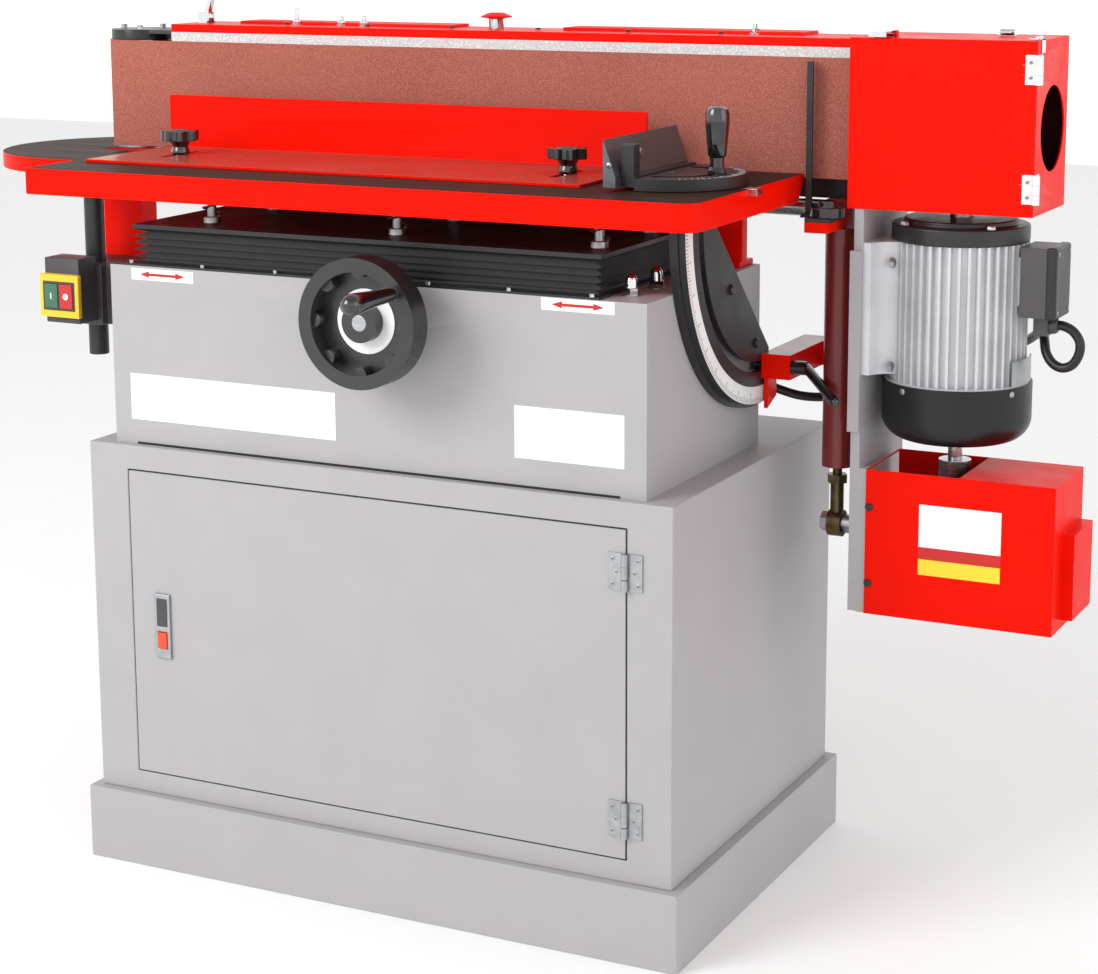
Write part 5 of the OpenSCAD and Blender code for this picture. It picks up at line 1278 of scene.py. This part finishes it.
@dataclass
class TiltGear(SubAssembly):
    """Quadrant, pivots, column, rod end and work stop."""

    pivot: tuple[float, float] = (67.0, 892.0)
    scale_radius: tuple[float, float] = (231.5, 253.5)
    scale_span: tuple[float, float] = (181.0, 274.0)
    scale_steps: int = 48
    scale_t: float = 0.1
    ticks: int = 91
    tick_reach: tuple[float, float, float] = (13.0, 9.0, 6.0)
    tick_inset: float = 1.0
    tick_half: float = 0.45
    tick_t: float = 0.06
    bolt_places: tuple[tuple[float, float], ...] = ((-43.0, 799.0), (40.0, 719.0))
    arm_end: tuple[float, float] = (470.0, 720.0)
    bracket_z: tuple[float, float] = (865.0, 884.2)
    bracket_y: float = 45.0
    upright_foot: float = 888.0
    upright_end: float = 478.0
    upright_middle: float = 469.0
    upright_shift: tuple[float, float] = (2.0, -6.0)

    def at(self, x: float, radius: float, turn: float) -> Vector:
        """Returns a point on the quadrant's plane at a radius and an angle in degrees from +Y."""
        a = math.radians(turn)
        return Vector((x, self.pivot[0] + radius * math.cos(a), self.pivot[1] + radius * math.sin(a)))

    def scale(self) -> None:
        """Adds the white scale band with its degree ticks."""
        face = box_mm("quadrant")[1].x
        inner, outer = self.scale_radius
        start, end = self.scale_span
        turns = [start + (end - start) * i / self.scale_steps for i in range(self.scale_steps + 1)]
        back, film = face - self.scale_t, face + self.scale_t
        outline = [self.at(back, outer, t) for t in turns] + [self.at(back, inner, t) for t in reversed(turns)]
        shape = Shape()
        shape.prism(outline, Axis.X.vector * (film - back), WHITE_FILM)
        ten, five, one = self.tick_reach
        rim = outer - self.tick_inset
        for i in range(self.ticks):
            turn = 180.0 + 90.0 * i / (self.ticks - 1)
            if turn < start:
                continue
            reach = ten if i % 10 == 0 else (five if i % 5 == 0 else one)
            near, far = self.at(film, rim, turn), self.at(film, rim - reach, turn)
            across = (self.at(film, outer, turn + 1.0) - self.at(film, outer, turn)).normalized() * self.tick_half
            tick = [near - across, near + across, far + across, far - across]
            shape.prism(tick, Axis.X.vector * self.tick_t, BLACK_FILM)
        self.add("tilt_scale", shape, "base", 0.0)

    def work_stop(self) -> None:
        """Dresses the work stop and narrows its upright."""
        stop = self.soften("work_stop", "work_stop", SATIN_BLACK, 0.5)
        for vertex in stop.data.vertices:
            if vertex.co.z > self.upright_foot / 1000.0 and vertex.co.x < self.upright_end / 1000.0:
                vertex.co.x += self.upright_shift[vertex.co.x > self.upright_middle / 1000.0] / 1000.0
        self.soften("stop_knob", "stop_knob", PHENOLIC, 1.4)

    def build(self) -> None:
        """Builds and dresses the tilt gear."""
        self.soften("quadrant", "quadrant", CAST_BLACK, 0.4)
        self.scale()
        face = box_mm("quadrant")[1].x
        bolts = [(face, y, z) for y, z in self.bolt_places]
        self.screws("quadrant_bolts", bolts, Axis.X, "base", 6.5, 4.0, SATIN_BLACK)
        self.soften("pivot_brackets", "pivot_brackets", RED_ENAMEL, 1.6)
        self.soften("tilt_shaft", "tilt_shaft", TURNED_STEEL, 0.6)
        end_x, end_z = self.arm_end
        low_z, high_z = self.bracket_z
        arm: Zone = (lambda c, n: c.x < end_x and c.z < end_z, RED_ENAMEL)
        bracket: Zone = (lambda c, n: low_z < c.z < high_z and c.y < self.bracket_y, RED_ENAMEL)
        # The column takes the red enamel darkened as painted shade; its arm and bracket keep the bright red.
        self.soften("tilt_column", "tilt_column", SHADED_RED_ENAMEL, 1.2, [arm, bracket])
        self.soften("rod_end", "rod_end", PASSIVATED, 0.6)
        self.soften("clamp_lever", "clamp_lever", PHENOLIC, 0.8)
        self.work_stop()


@dataclass
class SandingHead(SubAssembly):
    """Frame, platen, lid, belt, drums and the idler slide."""

    ears_end: float = -455.0
    ears_rise: float = 0.3
    lid_screw_pitch: float = 130.0
    lid_screw_start: tuple[float, float, float] = (50.0, 22.0, 166.0)
    lid_top: float = 1104.0
    bolt_sunk: float = 0.4
    lid_bolts: tuple[tuple[float, float, float], ...] = (
        (-321.0, 110.0, 24.0), (-248.0, 110.0, 14.0), (-212.0, 110.0, 14.0), (366.0, 110.0, 14.0),
    )
    flange_drop: float = 4.5
    flange_profile: Profile = ((0.0, 45.0), (1.2, 47.0), (4.0, 47.0), (4.6, 44.0))
    slide_bolt_h: float = 6.0
    knob_head_h: float = 9.0

    def lid(self) -> None:
        """Dresses the lid and adds its screws."""
        ears: Zone = (lambda c, n: c.x < self.ears_end and c.z > self.lid_top + self.ears_rise, CHROME)
        self.soften("head_cover", "head_lid", RED_ENAMEL, 1.4, [ears])
        low, high = box_mm("head_cover")
        count = int((high.x - low.x) // self.lid_screw_pitch)
        first = low + Vector(self.lid_screw_start)
        places = [first + Axis.X.vector * i * self.lid_screw_pitch for i in range(count)]
        self.screws("lid_screws", places, Axis.Z, "head", 3.6, 2.0, SATIN_BLACK)
        seat, up = self.lid_top - self.bolt_sunk, Axis.Z.vector
        bolts = Shape()
        for x, y, tall in self.lid_bolts:
            bolts.rod((x, y, seat), up, tall, 3.2, CHROME, 24, 0.8)
            bolts.rod((x, y, seat), up, 2.0, 8.5, ZINC_PLATE, 32)
            bolts.rod((x, y, seat + 2.0), up, 6.0, 6.4, CHROME, HEXAGON, 0.8)
        self.add("lid_adjusting_bolts", bolts, "head", 0.0)

    def drum_flange(self) -> None:
        """Adds the bright flange that shows under the belt at the idler."""
        centre, foot = middle_of("idler_drum"), box_mm("idler_drum")[0].z - self.flange_drop
        shape = Shape()
        shape.lathe((centre.x, centre.y, foot), Axis.Z.vector, self.flange_profile, TURNED_STEEL, 72)
        self.add("idler_flange", shape, "idler_drum", 0.0)

    def build(self) -> None:
        """Builds and dresses the sanding head."""
        self.lid()
        self.soften("platen", "platen", PLATEN_STEEL, 0.6)
        self.soften("head_frame", "head_frame", SATIN_BLACK, 0.8)
        self.soften("sanding_belt", "sanding_belt", ABRASIVE, 0.0)
        self.soften("idler_drum", "idler_drum", TURNED_STEEL, 0.8)
        self.drum_flange()
        self.soften("drive_drum", "drive_drum", SATIN_BLACK, 0.8)
        cap_top = box_mm("idler_bracket")[1].z - self.slide_bolt_h
        bolts: Zone = (lambda c, n: c.z > cap_top + FACE_SPARE, ZINC_PLATE)
        self.soften("idler_bracket", "idler_slide", SATIN_BLACK, 1.0, [bolts])
        self.soften("tension_lever", "tension_lever", CHROME, 1.0)
        stem_top = box_mm("tracking_knob")[1].z - self.knob_head_h
        stem: Zone = (lambda c, n: c.z < stem_top, CHROME)
        self.soften("tracking_knob", "tracking_knob", RED_ENAMEL, 0.6, [stem])


@dataclass
class Hood(SubAssembly):
    """Hood round the drive drum with its door and catches."""

    leaf_size: tuple[float, float] = (13.0, 35.0)
    leaf_inset: float = 33.5
    leaf_set: float = 7.0
    leaf_half_t: float = 0.6
    leaf_screw_rise: float = 9.0
    side: float = 757.0
    top: float = 1108.0
    skin: float = 1.0
    catch_place: tuple[float, float] = (693.0, 115.0)
    clip_span: tuple[float, float] = (34.0, 48.0)
    clip_reach: tuple[float, float] = (16.0, 15.0)
    clip_t: float = 1.6
    clip_sunk: float = 0.3
    clip_pin: tuple[float, float, float] = (4.0, 2.0, 2.6)

    def hinge_leaves(self) -> None:
        """Adds the pale hinge leaves and their screws on the door front."""
        low, high = box_mm("hood_door")
        front, right = low.y + self.leaf_set, self.side
        wide, tall = self.leaf_size
        thick, rise = self.leaf_half_t, self.leaf_screw_rise
        for name, z in (("lower", low.z + self.leaf_inset), ("upper", high.z - self.leaf_inset)):
            shape = Shape()
            shape.box((right - wide, front - thick, z - tall / 2), (right, front + thick, z + tall / 2), PALE_ZINC)
            self.add(f"{name}_hood_hinge_leaf", shape, "hood_door", 0.4)
            places = [(right - wide / 2, front - thick, z + s * rise) for s in (-1, 1)]
            self.screws(f"{name}_hood_hinge_screws", places, Axis.FRONT, "hood_door", 2.6, 0.8)

    def top_catch(self) -> None:
        """Adds the second toggle catch on the hood top: foot, pin and toggle."""
        top = self.top
        x, y = self.catch_place
        shape = Shape()
        shape.box((x - 11.0, y - 9.0, top - 0.4), (x + 11.0, y + 9.0, top + 1.6), CHROME)
        shape.rod((x - 9.0, y, top + 5.0), Axis.X.vector, 18.0, 3.4, CHROME, 24)
        shape.box((x - 7.0, y - 14.0, top + 4.0), (x + 7.0, y + 4.0, top + 6.4), CHROME)
        self.add("second_hood_catch", shape, "head", 0.5)

    def corner_clip(self) -> None:
        """Adds the bent clip over the hood's corner, with its pin."""
        side, top, thick, sunk = self.side, self.top, self.clip_t, self.clip_sunk
        near, far = self.clip_span
        along, down = self.clip_reach
        inset, spare, rise = self.clip_pin
        clip = Shape()
        clip.box((side - along, near, top - sunk), (side + thick, far, top + thick), CHROME)
        clip.box((side - sunk, near, top - down), (side + thick, far, top + thick), CHROME)
        start = (side - inset, near - spare, top + rise)
        clip.rod(start, Axis.Y.vector, far - near + 2 * spare, 2.2, CHROME, 20)
        self.add("hood_corner_clip", clip, "head", 0.4)

    def build(self) -> None:
        """Builds and dresses the hood."""
        low, high = box_mm("hood")
        side, skin = self.side, self.skin
        # Faces inside the hood take the red enamel darkened as painted shade.
        inside: Zone = (
            lambda c, n: c.x < side - skin
            and low.y + skin < c.y < high.y - skin
            and low.z + skin < c.z < self.top - skin,
            HOOD_INSIDE_SHADE,
        )
        on_hinge: Zone = (lambda c, n: c.x > side + FACE_SPARE, PALE_ZINC)
        self.soften("hood", "hood_sheet", RED_ENAMEL, 0.8, [inside, on_hinge])
        self.soften("hood_door", "hood_door", RED_ENAMEL, 0.8, [on_hinge])
        self.soften("hood_latch", "hood_catch", CHROME, 0.5)
        self.hinge_leaves()
        self.top_catch()
        self.corner_clip()


@dataclass
class MotorDrive(SubAssembly):
    """Motor on its plate, with the oscillating drive below."""

    bell_bolts: int = 4
    bell_bolt_circle: float = 77.0
    bell_bolt_drop: float = 7.0
    name_plate: tuple[float, float, float, float] = (-26.0, 18.0, 684.0, 716.0)
    name_plate_steps: int = 12
    name_plate_t: tuple[float, float] = (-1.0, 0.6)
    lid_foot: float = 25.0
    lid_depth: float = 12.0
    lid_proud: float = 1.5
    lid_screw_inset: float = 7.0
    gland_place: tuple[float, float, float] = (759.0, 109.0, 757.0)
    gland_nut: tuple[float, float, float] = (1.0, 4.0, 11.5)
    gland_profile: Profile = ((3.0, 9.8), (7.0, 9.8), (10.0, 8.0), (10.4, 6.4))
    pad_t: float = 20.0
    foot_bolt_y: tuple[float, float] = (38.5, 172.5)
    foot_bolt_z: tuple[float, float] = (703.0, 833.0)
    fan_screw_turns: tuple[float, ...] = (242.0, 332.0, 62.0, 152.0)
    fan_screw_drop: float = 7.0
    fan_screw_sunk: float = 0.5
    fan_screw_profile: Profile = ((0.0, 4.0), (1.6, 4.0), (2.8, 2.6))
    notice_x: tuple[float, float] = (627.0, 731.0)
    notice_bands: tuple[tuple[float, float, Finish], ...] = (
        (483.5, 537.5, WHITE_FILM), (468.0, 483.5, RED_FILM), (448.0, 468.0, YELLOW_FILM),
    )
    cover_screw_x: float = 5.0
    cover_screw_z: tuple[float, float] = (40.0, -48.0)

    def motor(self) -> None:
        """Dresses the motor and adds the bolts of its end bell."""
        self.soften("motor_frame", "finned_motor_body", SILVER_CASTING, 0.5)
        self.soften("motor_bell", "motor_end_bell", BELL_GREY, 2.5)
        self.soften("fan_cover", "fan_cover", MOTOR_GREY, 1.0)
        self.soften("terminal_box", "terminal_box", TERMINAL_GREY, 2.5)
        centre, circle = middle_of("motor_bell"), self.bell_bolt_circle
        z = box_mm("motor_bell")[1].z - self.bell_bolt_drop
        turns = [math.radians(45.0 + 360.0 * i / self.bell_bolts) for i in range(self.bell_bolts)]
        places = [(centre.x + circle * math.cos(t), centre.y + circle * math.sin(t), z) for t in turns]
        self.screws("end_bell_bolts", places, Axis.Z, "head", 5.5, 5.0, ZINC_PLATE, HEXAGON, False)

    def blank_name_plate(self) -> None:
        """Adds the bare plate bent round the motor's fins."""
        axis, steps = middle_of("drive_drum"), self.name_plate_steps
        radius = box_mm("motor_frame")[1].x - axis.x
        first, last, bottom, top = self.name_plate
        turns = [math.radians(first + (last - first) * i / steps) for i in range(steps + 1)]
        inner, outer = (
            [(axis.x + (radius + t) * math.cos(a), axis.y + (radius + t) * math.sin(a), bottom) for a in turns]
            for t in self.name_plate_t
        )
        shape = Shape()
        shape.prism(outer + inner[::-1], Axis.Z.vector * (top - bottom), ZINC_PLATE)
        self.add("blank_motor_plate", shape, "head", 0.0)

    def terminal_lid(self) -> None:
        """Adds the lid of the terminal box with its corner screws."""
        low, high = box_mm("terminal_box")
        base, right = low.z + self.lid_foot, high.x
        proud, inset = self.lid_proud, self.lid_screw_inset
        shape = Shape()
        shape.box(
            (right - self.lid_depth, low.y - proud, base - proud),
            (right + proud, high.y + proud, high.z + proud),
            LID_BLACK,
        )
        self.add("terminal_box_lid", shape, "head", 3.0)
        rows, columns = (base + inset, high.z - inset), (low.y + inset, high.y - inset)
        places = [(right + proud, y, z) for y in columns for z in rows]
        self.screws("terminal_lid_screws", places, Axis.X, "head", 3.0, 1.2)

    def lead_gland(self) -> None:
        """Adds the gland that the lead leaves the terminal box by."""
        start, out = Vector(self.gland_place), Axis.X.vector
        sunk, length, radius = self.gland_nut
        gland = Shape()
        gland.rod(start - out * sunk, out, length, radius, DARK_ABS, HEXAGON)
        gland.lathe(start, out, self.gland_profile, DARK_ABS, 32)
        self.add("lead_gland", gland, "head", 0.6)

    def plate_bolts(self) -> None:
        """Adds the bolts that hold the motor foot and the guide bar."""
        pad = box_mm("motor_plate")[1].x + self.pad_t
        places = [(pad, y, z) for y in self.foot_bolt_y for z in self.foot_bolt_z]
        self.screws("motor_foot_bolts", places, Axis.X, "head", 7.0, 5.0, ZINC_PLATE, HEXAGON, False)

    def fan_screws(self) -> None:
        """Adds the small screws that hold the fan cover to the body."""
        low, high = box_mm("fan_cover")
        centre, reach = middle_of("fan_cover"), (high.x - low.x) / 2 - self.fan_screw_sunk
        shape = Shape()
        for turn in (math.radians(degrees) for degrees in self.fan_screw_turns):
            out = Vector((math.cos(turn), math.sin(turn), 0.0))
            start = Vector((centre.x, centre.y, high.z - self.fan_screw_drop)) + out * reach
            shape.lathe(start, out, self.fan_screw_profile, ZINC_PLATE, 20)
        self.add("fan_cover_screws", shape, "head", 0.0)

    def cover_plate(self) -> None:
        """Adds the blank notice plate and the screws of the gear cover."""
        low, high = box_mm("gear_cover")
        left, right = self.notice_x
        shape = Shape()
        for bottom, top, film in self.notice_bands:
            shape.film((left, bottom), (right, top), low.y, film)
        self.add("blank_notice_plate", shape, "head", 0.0)
        above, below = self.cover_screw_z
        places = [(low.x + self.cover_screw_x, low.y, z) for z in (low.z + above, high.z + below)]
        self.screws("gear_cover_screws", places, Axis.FRONT, "head", 5.0, 3.0, SATIN_BLACK)

    def build(self) -> None:
        """Builds and dresses the drive."""
        self.soften("motor_plate", "motor_plate", POWDER_COAT, 0.8)
        self.motor()
        self.blank_name_plate()
        self.terminal_lid()
        self.lead_gland()
        self.plate_bolts()
        self.fan_screws()
        self.soften("gear_cover", "gear_cover", RED_ENAMEL, 0.4)
        self.cover_plate()
        self.soften("motor_rotor", "motor_shaft", TURNED_STEEL, 0.5)
        self.soften("eccentric", "eccentric_shaft", ZINC_PLATE, 0.5)


def main() -> None:
    """Builds the studio and every sub-assembly, noting how many pieces each made."""
    logging.basicConfig(level=logging.INFO, format="%(name)s: %(message)s")
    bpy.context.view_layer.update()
    Studio().build()
    groups = (MotorLead, Cabinet, TableLift, WorkTable, EndTable, TiltGear, SandingHead, Hood, MotorDrive)
    for group in groups:
        assembly = group(frame)
        assembly.build()
        LOG.info("%s: %d pieces", group.__name__, len(assembly.made))


if __name__ == "__main__":
    main()
